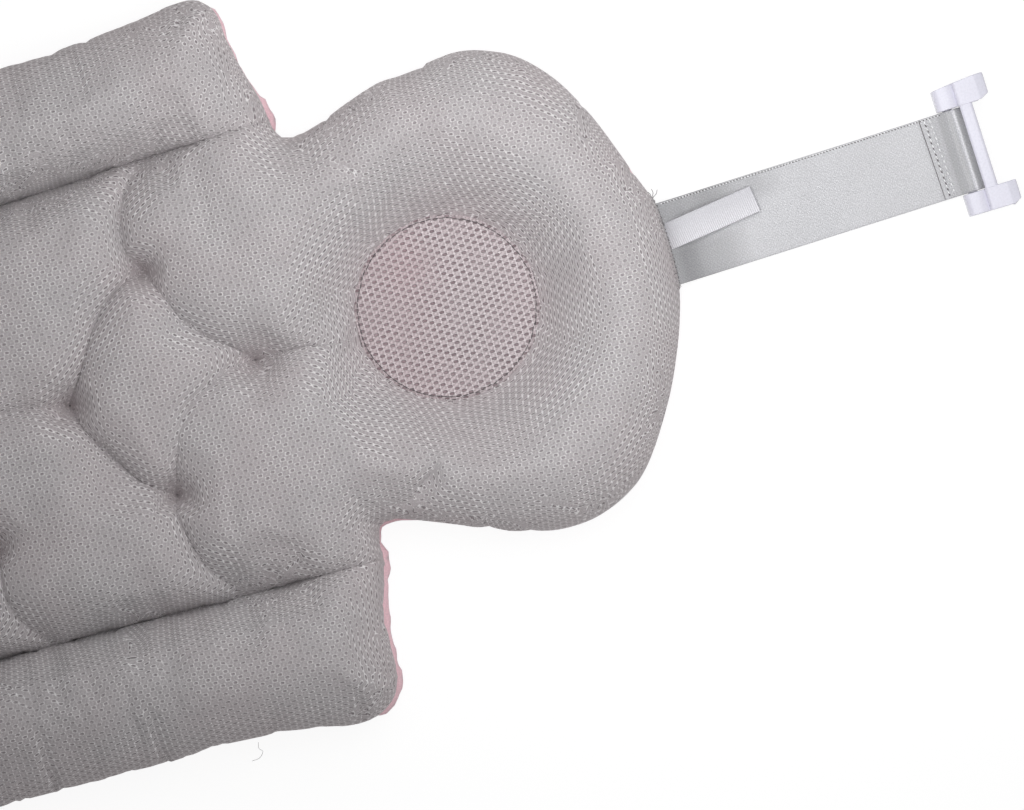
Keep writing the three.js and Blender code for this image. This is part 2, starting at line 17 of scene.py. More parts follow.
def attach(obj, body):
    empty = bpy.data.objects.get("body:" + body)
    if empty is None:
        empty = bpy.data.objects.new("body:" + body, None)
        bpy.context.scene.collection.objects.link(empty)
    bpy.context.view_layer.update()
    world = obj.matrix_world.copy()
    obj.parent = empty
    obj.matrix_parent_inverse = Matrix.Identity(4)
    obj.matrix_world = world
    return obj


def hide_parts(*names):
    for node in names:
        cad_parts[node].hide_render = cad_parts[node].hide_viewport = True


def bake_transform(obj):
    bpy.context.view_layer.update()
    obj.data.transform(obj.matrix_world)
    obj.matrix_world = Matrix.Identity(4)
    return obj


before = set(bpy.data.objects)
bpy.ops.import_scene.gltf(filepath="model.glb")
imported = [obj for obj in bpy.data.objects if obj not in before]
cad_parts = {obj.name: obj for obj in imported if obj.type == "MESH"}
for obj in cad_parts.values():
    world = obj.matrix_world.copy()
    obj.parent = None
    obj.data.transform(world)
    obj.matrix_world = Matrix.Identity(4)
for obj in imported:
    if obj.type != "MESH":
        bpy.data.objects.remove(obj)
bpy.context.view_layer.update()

MM = 0.001
TURN = 2 * pi

# %% [markdown]
# ## Camera, floor and light
# The cushion lies on a white table and is seen from straight above, turned so that its head points a
# little above the right edge. A long lens far away keeps perspective small. Rays from the camera see the
# floor mostly as plain white, and the rest of its colour is lit, so that a soft shadow stays. Two soft
# lamps stand on the left of the head, and an even sky fills the shadows.

# %% Camera
VIEW_CENTRE, VIEW_WIDTH, VIEW_TURN = (51.4, 16.4, 12.0), 471.0, radians(74)
LENS, SENSOR, SEES_TO = 350.0, 36.0, 50.0


def add_object(name, data):
    made = bpy.data.objects.new(name, data)
    bpy.context.scene.collection.objects.link(made)
    return made


optics = bpy.data.cameras.new("product_camera")
optics.lens, optics.sensor_width, optics.clip_end = LENS, SENSOR, SEES_TO
camera = add_object("product_camera", optics)
distance = VIEW_WIDTH * LENS / SENSOR
camera.location = Vector(VIEW_CENTRE) * MM + Vector((0, 0, distance * MM))
camera.rotation_euler = (0, 0, VIEW_TURN)
bpy.context.scene.camera = camera
print(f"camera {distance * MM:.2f} m above the cushion")


# %% Node helpers
class Wire:
    """What a node puts out. Sums and products of wires make Math nodes, so shaders read as formulas."""

    def __init__(self, tree, socket):
        self.tree, self.socket = tree, socket

    def math(self, operation, *others):
        inputs = dict(enumerate((self, *others)))
        return add_node(self.tree, "ShaderNodeMath", inputs, 0, operation=operation)

    def vector(self, operation, *others, output=0):
        inputs = dict(enumerate((self, *others)))
        return add_node(self.tree, "ShaderNodeVectorMath", inputs, output, operation=operation)

    def ramp(self, low, high, to_low=0.0, to_high=1.0):
        """This value carried from one range to another with soft ends, and held there."""
        inputs = {"Value": self, "From Min": low, "From Max": high, "To Min": to_low, "To Max": to_high}
        return add_node(self.tree, "ShaderNodeMapRange", inputs, "Result", interpolation_type="SMOOTHSTEP")

    def mix(self, *colors):
        """From one colour to another as far as this value says. Plain colours are 0 to 255."""
        a, b = (c if isinstance(c, Wire) else srgb(c) for c in colors)
        return add_node(self.tree, "ShaderNodeMix", {0: self, 6: a, 7: b}, 2, data_type="RGBA")

    def shade(self, level):
        """This colour times a level."""
        inputs = {0: 1.0, 6: self, 7: level}
        return add_node(self.tree, "ShaderNodeMix", inputs, 2, data_type="RGBA", blend_type="MULTIPLY")

    def __add__(self, other):
        return self.math("ADD", other)

    def __sub__(self, other):
        return self.math("SUBTRACT", other)

    def __rsub__(self, other):
        return self * -1.0 + other

    def __mul__(self, other):
        return self.math("MULTIPLY", other)

    def __truediv__(self, other):
        return self.math("DIVIDE", other)

    __radd__ = __add__


def plug(node, inputs):
    """Sets a node's input sockets, by name or number, to values or wires."""
    for key, value in inputs.items():
        if isinstance(value, Wire):
            node.id_data.links.new(value.socket, node.inputs[key])
        else:
            node.inputs[key].default_value = value


def add_node(tree, kind, inputs, output=None, **settings):
    """A node, or one output of it as a wire."""
    node = tree.nodes.new(kind)
    for key, value in settings.items():
        setattr(node, key, value)
    plug(node, inputs)
    return node if output is None else Wire(tree, node.outputs[output])


def noise(vector, scale, detail=2.0, roughness=0.5, output="Fac"):
    inputs = {"Vector": vector, "Scale": scale, "Detail": detail, "Roughness": roughness}
    return add_node(vector.tree, "ShaderNodeTexNoise", inputs, output)


def srgb(color):
    """A colour as a picture shows it, 0 to 255, as the linear colour that a shader takes. None of
    this cushion's colours is dark enough to need the straight foot of the curve."""
    return (*(((c / 255 + 0.055) / 1.055) ** 2.4 for c in color), 1.0)


# %% Floor and sky
WHITE = (1, 1, 1, 1)
FLOOR_HALF, FLOOR_DROP = 6.0, 0.6
FLOOR_PLAIN_SHARE, FLOOR_PLAIN_LEVEL = 0.84, 1.07
SKY_LEVEL = 0.362


def lit_or_plain(owner, surface, lit, plain, share):
    """A lit shader, and a plain one on the camera's rays and those that mirrors and glass send on."""
    owner.use_nodes = True
    tree = owner.node_tree
    tree.nodes.clear()
    path = add_node(tree, "ShaderNodeLightPath", {})
    kinds = ("Is Camera Ray", "Is Glossy Ray", "Is Transmission Ray")
    camera_ray, glossy_ray, glass_ray = (Wire(tree, path.outputs[kind]) for kind in kinds)
    seen = camera_ray.math("MAXIMUM", glossy_ray).math("MAXIMUM", glass_ray) * share
    lit, plain = (add_node(tree, kind, inputs, 0) for kind, inputs in (lit, plain))
    mixed = add_node(tree, "ShaderNodeMixShader", {0: seen, 1: lit, 2: plain}, 0)
    add_node(tree, surface, {"Surface": mixed})


table = bpy.data.materials.new("white_table")
lit_or_plain(table, "ShaderNodeOutputMaterial", ("ShaderNodeBsdfDiffuse", {"Color": (0.9, 0.9, 0.9, 1)}),
             ("ShaderNodeEmission", {"Color": WHITE, "Strength": FLOOR_PLAIN_LEVEL}), FLOOR_PLAIN_SHARE)
sheet = bpy.data.meshes.new("floor")
corners = [(x * FLOOR_HALF, y * FLOOR_HALF, 0) for x, y in ((-1, -1), (1, -1), (1, 1), (-1, 1))]
sheet.from_pydata(corners, [], [(0, 1, 2, 3)])
sheet.materials.append(table)
floor = add_object("floor", sheet)
floor.location.z = -FLOOR_DROP * MM

world = bpy.data.worlds.new("white_studio")
bpy.context.scene.world = world
lit_or_plain(world, "ShaderNodeOutputWorld",
             ("ShaderNodeBackground", {"Color": WHITE, "Strength": SKY_LEVEL}),
             ("ShaderNodeBackground", {"Color": WHITE, "Strength": 1.0}), 1.0)
bpy.context.scene.view_settings.view_transform = "Standard"
print(f"floor {2 * FLOOR_HALF:.0f} m wide, sky at {SKY_LEVEL}")

# %% Lamps
LAMPS = {
    # name: (place, aim, width and height in metres, spread in degrees, watts)
    "head_softbox": ((-0.05, 0.08, 0.50), (-0.18, 0.22, 0.0), 0.5, 120, 0.82),
    "side_softbox": ((-0.12, 0.13, 0.45), (0.0, -0.04, 0.0), 0.5, 180, 0.81),
    "small_spot": ((0.10, 0.56, 0.50), (0.0, 0.22, 0.0), 0.04, 120, 0.08),
}
for name, (place, aim, width, spread, watts) in LAMPS.items():
    light = bpy.data.lights.new(name, "AREA")
    light.size, light.spread, light.energy = width, radians(spread), watts
    lamp = add_object(name, light)
    lamp.location = place
    lamp.rotation_euler = (Vector(aim) - Vector(place)).to_track_quat("-Z", "Y").to_euler()
print("lamps:", ", ".join(LAMPS))

# %% [markdown]
# ## Finishes
# Knitted spacer mesh is a lattice of small oval holes in staggered rows, with bright polyester threads
# between them. Two crossing rows of waves peak at exactly such places, so a few nodes make the holes. They
# work on cloth coordinates in metres, kept as a UV map, so the holes keep their size where the cloth goes
# over a slope. A picture of the mesh would do too, but it blurs from close by. A second group gives
# weaves: fine threads that cross. A third gives fibres their glints and their slow change of tone.


# %% Group: knitted holes
def new_group(name, inputs, outputs):
    """A shader node group, and what it is given, by name."""
    group = bpy.data.node_groups.new(name, "ShaderNodeTree")
    for names, way in ((inputs, "INPUT"), (outputs, "OUTPUT")):
        for socket in names:
            kind = "NodeSocketVector" if socket in ("Vector", "Slope") else "NodeSocketFloat"
            group.interface.new_socket(socket, in_out=way, socket_type=kind)
    given = group.nodes.new("NodeGroupInput").outputs
    return group, {socket: Wire(group, given[socket]) for socket in inputs}


def give_out(group, wires):
    plug(group.nodes.new("NodeGroupOutput"), wires)


def counted(vector, pitch):
    """The X and Y of a vector, counted in repeats of a pattern."""
    parts = add_node(vector.tree, "ShaderNodeSeparateXYZ", {0: vector}).outputs
    return [Wire(vector.tree, parts[k]) / pitch[k] for k in (0, 1)]


knit, given = new_group(
    "knitted_holes", ("Vector", "Slope", "Across", "Along", "Hole Start", "Hole Full", "Wander"),
    ("Hole", "Ring", "Thread", "Height", "Steep"))
pitch = given["Across"], given["Along"]
drift = noise(given["Vector"], 60.0, 1.0, output="Color").vector("SUBTRACT", (0.5, 0.5, 0.5))
drift = drift.vector("MULTIPLY", given["Wander"])
u, v = counted(given["Vector"].vector("ADD", drift), pitch)
up_u, up_v = counted(given["Slope"].vector("NORMALIZE"), pitch)
steep = given["Slope"].vector("LENGTH", output="Value")
fine_u, fine_v = (side.math("POWER", -2.0) for side in pitch)

# The lattice is two crossing rows. On a slope the row that lies level is seen, and the others hide.
rows, shares = [], []
for a, b in ((1, 1), (1, -1), (0, 2), (2, 0)):
    rows.append((u * (a * TURN) + v * (b * TURN)).math("COSINE"))
    rise = up_u * a + up_v * b
    shares.append((rise * rise / (fine_u * (a * a) + fine_v * (b * b))).math("POWER", 3.0))
crossing = (rows[0] + rows[1]) * 0.5
lines = sum(row * share for row, share in zip(rows, shares)) / sum(shares)
lattice = crossing + steep * (lines - crossing)
start = given["Hole Start"]
hole = lattice.ramp(start, given["Hole Full"])
# The loop of thread round each hole
ring = lattice.ramp(start - 0.55, start - 0.32) * (1 - lattice.ramp(start - 0.14, start + 0.10))
# The two threads that meet between holes, in ripples finer than the rows
ripples = (v * (4 * TURN)).math("COSINE") + ((u + v) * (2 * TURN)).math("COSINE")
thread = (ripples * 0.25 + 0.5) * (1 - hole)
give_out(knit, {"Hole": hole, "Ring": ring, "Thread": thread, "Steep": steep,
                "Height": thread * 0.35 + (0.7 - hole) + ring * 0.5})

# %% Group: woven threads
weave, given = new_group("woven_threads", ("Vector", "Across", "Along", "Twill"), ("Height", "Thread"))
u, v = counted(given["Vector"], (given["Across"], given["Along"]))
ribs = ((u * given["Twill"] + v) * TURN).math("SINE") * 0.5 + 0.5
ends = (u * TURN).math("SINE") * 0.5 + 0.5
give_out(weave, {"Height": ends * 0.4 + ribs * 0.6, "Thread": ribs * ends})

# %% Group: fibre glints and slow tone
fibre, given = new_group("fibre_tone", ("Vector", "Fine", "Slow"), ("Glint", "Tone"))
give_out(fibre, {"Glint": noise(given["Vector"], given["Fine"], 2.0, 0.7).ramp(0.35, 0.75),
                 "Tone": noise(given["Vector"], given["Slow"]).ramp(0.3, 0.7)})
print("groups:", ", ".join(g.name for g in bpy.data.node_groups))


# %% A material to start from
def new_material(name, **sockets):
    """A Principled material, with plain values set on the shader's own sockets."""
    material = bpy.data.materials.new(name)
    material.use_nodes = True
    shader = material.node_tree.nodes["Principled BSDF"]
    plug(shader, {socket.replace("_", " "): value for socket, value in sockets.items()})
    return material, shader, material.node_tree


def finish_material(shader, color, rough, height, depth_mm):
    inputs = {"Height": height, "Distance": depth_mm * MM, "Strength": 1.0}
    bump = add_node(shader.id_data, "ShaderNodeBump", inputs, 0)
    plug(shader, {"Base Color": color, "Roughness": rough, "Normal": bump})


def cloth_groups(tree, group, slow, **inputs):
    """A pattern group and the fibre group on the cloth coordinates: these, and both groups' outputs."""
    cloth = add_node(tree, "ShaderNodeUVMap", {}, 0, uv_map=CLOTH_MAP)
    found = {}
    for tree_used, values in ((group, inputs), (fibre, {"Fine": 1500.0, "Slow": slow})):
        values = {"Vector": cloth, **{key.replace("_", " "): value for key, value in values.items()}}
        node = add_node(tree, "ShaderNodeGroup", values, node_tree=tree_used)
        found.update({socket.name: Wire(tree, socket) for socket in node.outputs})
    return cloth, found


def mark(tree, name, output="Fac"):
    """What a mesh keeps on its points under a name."""
    return add_node(tree, "ShaderNodeAttribute", {}, output, attribute_name=name)


# %% Cover and window mesh
# The thin mark is the pink back seen through the mesh, and on the window also painted shade.
CLOTH_MAP, PINK_AND_SHADE, SLOPE, SATIN_PAINTED_LIGHT = "cloth", "thin", "slope", "painted_light"


def mesh_material(name, threads, rings, holes, through, across, along, hole, depth, through_base, glint_paint):
    """Spacer mesh. Rings and holes have two colours each: on level cloth, and on a slope, where their
    threads and gaps crowd into bright and dark lines."""
    material, shader, tree = new_material(
        name, Sheen_Weight=0.2, Sheen_Roughness=0.5, Specular_IOR_Level=0.35)
    cloth, mesh = cloth_groups(
        tree, knit, 25.0, Slope=mark(tree, SLOPE, "Vector"), Across=across * MM, Along=along * MM,
        Hole_Start=hole[0], Hole_Full=hole[1], Wander=0.0005)
    # Filling presses on the cloth from behind in places, and the pattern is fainter there
    clear = noise(cloth, 70.0).ramp(0.32, 0.66, 0.5, 1.0).math("MAXIMUM", mesh["Steep"])
    color = mesh["Thread"].mix(*threads)
    for share, colors in (("Ring", rings), ("Hole", holes)):
        color = (mesh[share] * clear).mix(color, mesh["Steep"].mix(*colors))
    color = color.shade(mesh["Glint"] * 0.30 + 0.85)
    # How far the through colour is mixed in: pink seen through the mesh, and on the window painted shade too
    pink_and_shade = mesh["Tone"] * 0.05 + (mark(tree, PINK_AND_SHADE) + through_base)
    color = pink_and_shade.mix(color, through)
    # Painted glints: a few specks on the threads turn near-white, for light caught by single fibres
    painted_glints = noise(cloth, 2400.0, 1.0, 0.6).ramp(0.66, 0.76, 0.0, glint_paint)
    color = (painted_glints * (mesh["Ring"] * 0.6 + 0.4)).mix(color, (245, 244, 244))
    finish_material(shader, color, mesh["Thread"] * -0.2 + 0.75, mesh["Height"], depth)
    return material


COVER_MESH = mesh_material(
    "spacer_mesh_grey", ((172, 167, 169), (184, 180, 182)), ((226, 223, 224), (242, 240, 241)),
    ((161, 155, 158), (118, 113, 115)), (196, 152, 158), across=3.9, along=5.7,
    hole=(0.55, 1.0), depth=0.30, through_base=0.0, glint_paint=0.75)
WINDOW_MESH = mesh_material(
    "window_mesh_rose", ((184, 172, 175), (206, 196, 199)), ((230, 221, 224),) * 2,
    ((130, 116, 120),) * 2, (186, 146, 153), across=3.37, along=5.78, hole=(0.26, 0.66),
    depth=0.5, through_base=0.05, glint_paint=0.5)


# %% Cloth, webbing, ribbon, thread and plastic
def woven_material(name, colors, across, along, twill, depth, rough, sheen, tone_share=0.12,
                   glint=(0.9, 0.2), painted_light=False):
    material, shader, tree = new_material(name, Sheen_Weight=sheen, Sheen_Roughness=0.4)
    _, woven = cloth_groups(tree, weave, 30.0, Across=across * MM, Along=along * MM, Twill=twill)
    level = (woven["Glint"] * glint[1] + glint[0]) * (woven["Tone"] * tone_share + (1 - tone_share / 2))
    # Painted shade: the mark lowers the level, and where it is below zero it raises it as a painted highlight
    if painted_light:
        level = level * (1 - mark(tree, SATIN_PAINTED_LIGHT))
    finish_material(shader, woven["Thread"].mix(*colors).shade(level), woven["Glint"] * 0.1 + rough,
                    woven["Height"], depth)
    return material


BACK_CLOTH = woven_material(
    "back_cloth_pink", ((243, 200, 209), (252, 220, 227)), 0.5, 0.5, 0.0, 0.06, 0.7, 0.4)
WEBBING = woven_material(
    "strap_satin_silver", ((187, 187, 191), (234, 234, 236)), 0.66, 0.78, 1.0, 0.10, 0.38, 0.12,
    tone_share=0.05, glint=(0.86, 0.34), painted_light=True)
RIBBON = woven_material(
    "label_ribbon_white", ((198, 197, 203), (237, 236, 241)), 40.0, 0.95, 0.0, 0.14, 0.5, 0.1,
    tone_share=0.04)


def thread_material(name, color, shadow):
    material, shader, tree = new_material(name, Sheen_Weight=0.2)
    spot = add_node(tree, "ShaderNodeTexCoord", {}, "Object")
    strands = add_node(tree, "ShaderNodeTexWave", {"Vector": spot, "Scale": 500.0, "Distortion": 2.0}, "Fac",
                       bands_direction="DIAGONAL")
    finish_material(shader, strands.mix(color, shadow), strands.ramp(0, 1, 0.55, 0.8), strands, 0.05)
    return material


GREY_THREAD = thread_material("sewing_thread_grey", (150, 146, 146), (98, 94, 95))
LIGHT_THREAD = thread_material("sewing_thread_light", (200, 197, 198), (146, 142, 143))
SEAM_THREAD = thread_material("sewing_thread_dark", (112, 105, 106), (72, 67, 69))
SILVER_THREAD = thread_material("sewing_thread_silver", (250, 250, 251), (216, 217, 219))

PLASTIC, shader, tree = new_material(
    "moulded_plastic_white", Coat_Weight=0.12, Coat_Roughness=0.15, Specular_IOR_Level=0.4)
spot = add_node(tree, "ShaderNodeTexCoord", {}, "Object")
grain, cloud = noise(spot, 900.0, 3.0), noise(spot, 40.0).ramp(0.3, 0.7)
finish_material(shader, cloud.mix((211, 210, 222), (216, 215, 227)), grain.ramp(0.3, 0.7, 0.22, 0.34),
                grain, 0.005)
print("materials:", ", ".join(m.name for m in bpy.data.materials))


# %% [markdown]
# ## Tools for cloth
# Cloth follows plan curves: the outline, the sewn channels and the window's rim. A smooth curve through
# a few measured places is cut into even steps. Blender's own curves could do that, but numpy gives the
# points at once, for all that is worked out from them. Every mesh is made from points in millimetres,
# and one helper turns them into an object in metres.


# %% Curves
def smooth_curve(places, step):
    """A smooth open curve through places, cut into even steps."""
    p = np.array(places, float)
    ahead = np.vstack([2 * p[0] - p[1], p, 2 * p[-1] - p[-2]])
    t = np.linspace(0, 1, 40, endpoint=False)[:, None]
    rows = []
    for a, b, c, d in zip(ahead, ahead[1:], ahead[2:], ahead[3:]):
        u, v, w = [max(np.sqrt(np.linalg.norm(q - r)), 1e-6) for q, r in ((b, a), (c, b), (d, c))]
        m1 = v * ((b - a) / u - (c - a) / (u + v) + (c - b) / v)
        m2 = v * ((c - b) / v - (d - b) / (v + w) + (d - c) / w)
        rows.append((2 * t**3 - 3 * t**2 + 1) * b + (t**3 - 2 * t**2 + t) * m1
                    + (-2 * t**3 + 3 * t**2) * c + (t**3 - t**2) * m2)
    return even_steps(np.vstack([*rows, p[-1:]]), step)


def run_along(line):
    """How far along a line each of its points lies."""
    return np.concatenate([[0], np.cumsum(np.linalg.norm(np.diff(line, axis=0), axis=1))])


def even_steps(line, step):
    line = np.asarray(line, float)
    run = run_along(line)
    places = np.linspace(0, run[-1], max(2, int(round(run[-1] / step)) + 1))
    return np.column_stack([np.interp(places, run, line[:, k]) for k in range(line.shape[1])])


def nearest_on(points, line):
    """For each point: its distance to the line, and how far along the line the nearest place is."""
    a = line[:-1]
    span = line[1:] - a
    size = (span**2).sum(1)
    run = np.concatenate([[0], np.cumsum(np.sqrt(size))])
    far, along = [], []
    for part in np.array_split(points, max(1, len(points) // 3000)):
        t = np.clip(((part[:, None] - a) * span).sum(2) / size, 0, 1)
        d = np.linalg.norm(part[:, None] - a - t[:, :, None] * span, axis=2)
        k, rows = d.argmin(1), np.arange(len(part))
        far.append(d[rows, k])
        along.append(run[k] + t[rows, k] * np.sqrt(size[k]))
    return np.concatenate(far), np.concatenate(along)


def nearest_of(points, lines):
    return np.min([nearest_on(points, line)[0] for line in lines], axis=0)


def closed(loop):
    return np.vstack([loop, loop[:1]])


def inside(points, loop):
    """Whether each point is inside a closed loop."""
    x, y = points[:, 0][:, None], points[:, 1][:, None]
    a, b = loop, np.roll(loop, -1, axis=0)
    rise = np.where(b[:, 1] == a[:, 1], 1e-9, b[:, 1] - a[:, 1])
    at = a[:, 0] + (y - a[:, 1]) / rise * (b[:, 0] - a[:, 0])
    return (((a[:, 1] > y) != (b[:, 1] > y)) & (x < at)).sum(1) % 2 == 1


def bend_noise(along, wavelength, seed):
    """A smooth random wave along a line, about -1 to 1."""
    draw = np.random.default_rng(seed)
    waves = wavelength * draw.uniform(0.6, 1.8, 7)
    phases = draw.uniform(0, TURN, 7)
    return sum(np.sin(TURN * along / w + p) for w, p in zip(waves, phases)) / 3


def ease(t):
    t = np.clip(t, 0, 1)
    return t * t * (3 - 2 * t)


# %% Mesh objects
def new_mesh(name, points, faces):
    """An object in metres from points in millimetres."""
    mesh = bpy.data.meshes.new(name)
    mesh.from_pydata((np.asarray(points, float) * MM).tolist(), [], [tuple(map(int, f)) for f in faces])
    return add_object(name, mesh)


def new_piece(name, points, faces, material, slot, uv=None):
    piece = new_mesh(name, points, faces)
    mesh = piece.data
    mesh.materials.append(material)
    mesh.polygons.foreach_set("use_smooth", [True] * len(mesh.polygons))
    if uv is not None:
        corners = np.zeros(len(mesh.loops), np.int32)
        mesh.loops.foreach_get("vertex_index", corners)
        flat = (np.asarray(uv, float)[corners] * MM).astype(np.float32).ravel()
        mesh.uv_layers.new(name=CLOTH_MAP).data.foreach_set("uv", flat)
    return piece


def point_attribute(piece, name, values):
    """Numbers or vectors kept on a mesh's points for its material."""
    values = np.asarray(values, np.float32)
    kind, key = ("FLOAT", "value") if values.ndim == 1 else ("FLOAT_VECTOR", "vector")
    piece.data.attributes.new(name, kind, "POINT").data.foreach_set(key, values.ravel())


# %% [markdown]
# ## The cover
# One cloth of grey spacer mesh lies over the ring, the body and both bolsters. Each seam holds it down
# and the filling pushes it up between them, so its height at a place follows from how near the seams
# are. The cloth is a fine net of triangles laid between the sewn lines and lifted by that rule. Sculpting
# could give the same pillows, but a rule keeps them when a seam is moved.

# %% Sewn lines in plan
STEP = 2.5
FOOT_CORNER = [
    (160.5, -410), (157.5, -428), (149, -440), (131, -445), (100, -445.6), (50, -445.8), (0, -445.8)]
RIGHT_SIDE = [
    (0, 104.8), (20, 103.9), (36, 99.5), (51, 93.6), (64, 87.6), (74, 81.8), (83, 76), (91.5, 70), (98, 64),
    (103, 57), (106.4, 51), (108.8, 45), (110.7, 38), (111.5, 30), (111.2, 22), (110, 15.5), (108.6, 9),
    (106.5, 0.5), (103.6, -6), (100.8, -14), (97.9, -20.5), (95.2, -26.5), (92.6, -32.5), (90.4, -38.5),
    (88.6, -45), (87.4, -52), (88.4, -57), (92.5, -58.8), (101, -59.6), (112.6, -62), (130.6, -66.1),
    (142.6, -67.7), (155.7, -68.6), (162, -70.6), (167.2, -75.2), (171, -82), (172.2, -91), (171.2, -100),
    (169.6, -110), (168.2, -120), (167, -130), (165.8, -150), (165.4, -180), (165, -200), (163.4, -260),
    (161.5, -350), *FOOT_CORNER]
LEFT_SIDE = [
    (0, 104.8), (20, 103.7), (31.5, 100), (47.5, 94), (64, 87.8), (76, 82), (86, 76), (93.3, 70), (99.3, 64),
    (103.5, 58), (106.3, 52), (108.6, 46), (110.2, 40), (110.8, 34), (110.4, 28), (109.6, 22), (108.4, 16),
    (107.7, 10), (107.7, 4), (107.4, -2), (105.9, -8), (104, -14), (102.1, -20), (100.1, -26), (98, -32),
    (96.1, -38), (94.9, -44), (94.9, -49), (97, -52.4), (101.5, -54), (115.5, -56.4), (129.3, -60.8),
    (139.9, -62.5), (148.2, -64.2), (156.8, -64.9), (162.1, -66.9), (165.6, -70), (167.7, -75), (167.5, -85),
    (166.6, -92), (165.8, -100), (164.8, -110), (163.8, -120), (163, -130), (162.2, -145), (161.9, -165),
    (161.9, -200), (161.6, -260), (161.2, -350), *FOOT_CORNER]
WINDOW_RADIUS = 42.0
CHANNEL_FRONT, CHANNEL_FOOT = (104.0, -58.0), (94.0, -445.5)

left_half = smooth_curve(LEFT_SIDE, STEP) * (-1, 1)
outline = np.vstack([smooth_curve(RIGHT_SIDE, STEP), left_half[-2:0:-1]])


def channel_x(y):
    """Half the distance between the two channels at a place along the cushion."""
    return np.interp(-np.asarray(y, float), [-CHANNEL_FRONT[1], -CHANNEL_FOOT[1]],
                     [CHANNEL_FRONT[0], CHANNEL_FOOT[0]])


def channel_line(side):
    """A channel from the front edge of the outline to its foot."""
    across, y = outline[:, 0] * side, outline[:, 1]
    ends = [np.where(near, abs(across - x), 1e9).argmin() for near, x in (
        ((y > -80) & (y < -50), CHANNEL_FRONT[0]), (y < -440, CHANNEL_FOOT[0]))]
    return even_steps(outline[ends], STEP)


def circle(radius):
    return radius * np.column_stack([np.cos(turns), np.sin(turns)])


channels = [channel_line(1), channel_line(-1)]
turns = np.linspace(0, TURN, int(round(TURN * WINDOW_RADIUS / STEP)), endpoint=False)
window_rim = circle(WINDOW_RADIUS)
print(f"outline of {len(outline)} steps, channels of {len(channels[0])}, window of {len(window_rim)}")

# %% Tufts and quilting
tufts = {
    "chest_tuft_tie": (-1.0, -91.5),
    "shoulder_tuft_tie_left": (-54.6, -130.0),
    "shoulder_tuft_tie_right": (48.6, -142.5),
    "waist_tuft_tie": (-4.2, -179.0),
    "hip_tuft_tie_left": (-50.0, -226.0),
    "hip_tuft_tie_right": (49.7, -231.0),
    "seat_tuft_tie": (0.0, -268.0),
    "thigh_tuft_tie_left": (-48.6, -312.0),
    "thigh_tuft_tie_right": (48.6, -312.0),
    "knee_tuft_tie": (0.0, -354.0),
}
# Creases between tufts: places along each line, how deep it pulls there, and how wide it is
CREASES = [
    ([(-55, -129.5), (-42, -123.9), (-27.6, -117), (-16.2, -107.3), (-9.3, -99), (-1, -91)],
     (0.50, 0.36, 0.34, 0.36, 0.44, 0.55), 24),
    ([(48.6, -143), (37.4, -139), (24.1, -133.7), (11.9, -126.4), (4.6, -113.3), (-0.9, -101), (-1, -91)],
     (0.50, 0.30, 0.20, 0.18, 0.22, 0.36, 0.5), 24),
    ([(-55, -129.5), (-50.3, -139.7), (-41.2, -152.8), (-29.4, -161.9), (-16.9, -169.8), (-4.9, -178.5)],
     (0.52, 0.40, 0.36, 0.36, 0.40, 0.55), 20),
    ([(48.6, -143), (37.5, -157.2), (23.9, -166.2), (9, -174.8), (-4.2, -179)],
     (0.52, 0.44, 0.40, 0.40, 0.55), 20),
    ([(-1, -91), (-0.9, -79.2), (-0.7, -68.2), (1.5, -57), (2.5, -47)], (0.60, 0.46, 0.36, 0.24, 0.10), 27),
    ([(-4.2, -179), (-7.4, -193.6), (-8.3, -211.5), (-5, -232), (0, -268)], (0.5, 0.30, 0.20, 0.12, 0.3), 22),
    ([(-55, -129.5), (-65, -134), (-76.2, -133.2), (-87, -129.1), (-95.6, -123.8), (-101.5, -114)],
     (0.50, 0.36, 0.34, 0.32, 0.30, 0.2), 20),
    ([(48.6, -143), (57.3, -144.7), (68.9, -142.7), (78.7, -140.3), (88, -136.2), (97, -128)],
     (0.50, 0.36, 0.32, 0.30, 0.26, 0.2), 20),
    ([(-66, -20), (-72, -27), (-80, -33)], (0.0, 0.06, 0.0), 8),
    ([(66, -22), (72, -30), (79, -39)], (0.0, 0.16, 0.06), 12),
]
# The foot's creases are alike on both sides
FOOT_CREASES = [
    ([(0, -268), (16, -277), (34, -290), (45, -302), (48.6, -312)], (0.5, 0.38, 0.34, 0.38, 0.5)),
    ([(0, -354), (16, -343), (34, -334), (45, -323), (48.6, -312)], (0.5, 0.38, 0.34, 0.38, 0.5)),
    ([(48.6, -312), (58, -312), (70, -313), (84, -308), (94, -300)], (0.5, 0.34, 0.3, 0.3, 0.2)),
    ([(50, -228), (60, -229), (72, -230), (86, -226), (96, -218)], (0.4, 0.28, 0.24, 0.22, 0.15)),
]
FOOT_CREASE_WIDTH = 20
for places, depths in FOOT_CREASES:
    for side in (1, -1):
        CREASES.append(([(side * x, y) for x, y in places], depths, FOOT_CREASE_WIDTH))
print(f"{len(tufts)} tufts and {len(CREASES)} creases")

# %% Height of the stuffed cover
SEAM_Z, CHANNEL_Z, RIM_Z, SIDE_Z = 9.3, 10.0, 13.5, 16.0
HEAD_CREST, BODY_CREST, BOLSTER_CREST = 47.0, 42.0, 45.0
OUTLINE_REACH, CHANNEL_REACH, WINDOW_REACH = 34.0, 32.0, 40.0
CREST_BLEND, BOLSTER_TOP_Y, BODY_CREST_Y = 14.0, -50.0, -96.0
# Where the channels begin to hold the cover down: a first share of the hold, and then the rest
FIRST_HOLD, FIRST_HOLD_Y, CHANNEL_FADE = 0.25, (-60.0, -80.0), (-80.0, -116.0)
EDGE_REACH, EDGE_HOLD = 20.0, 0.35
LUMP_HEIGHT, LUMP_LENGTHS = 1.3, (60, 55)
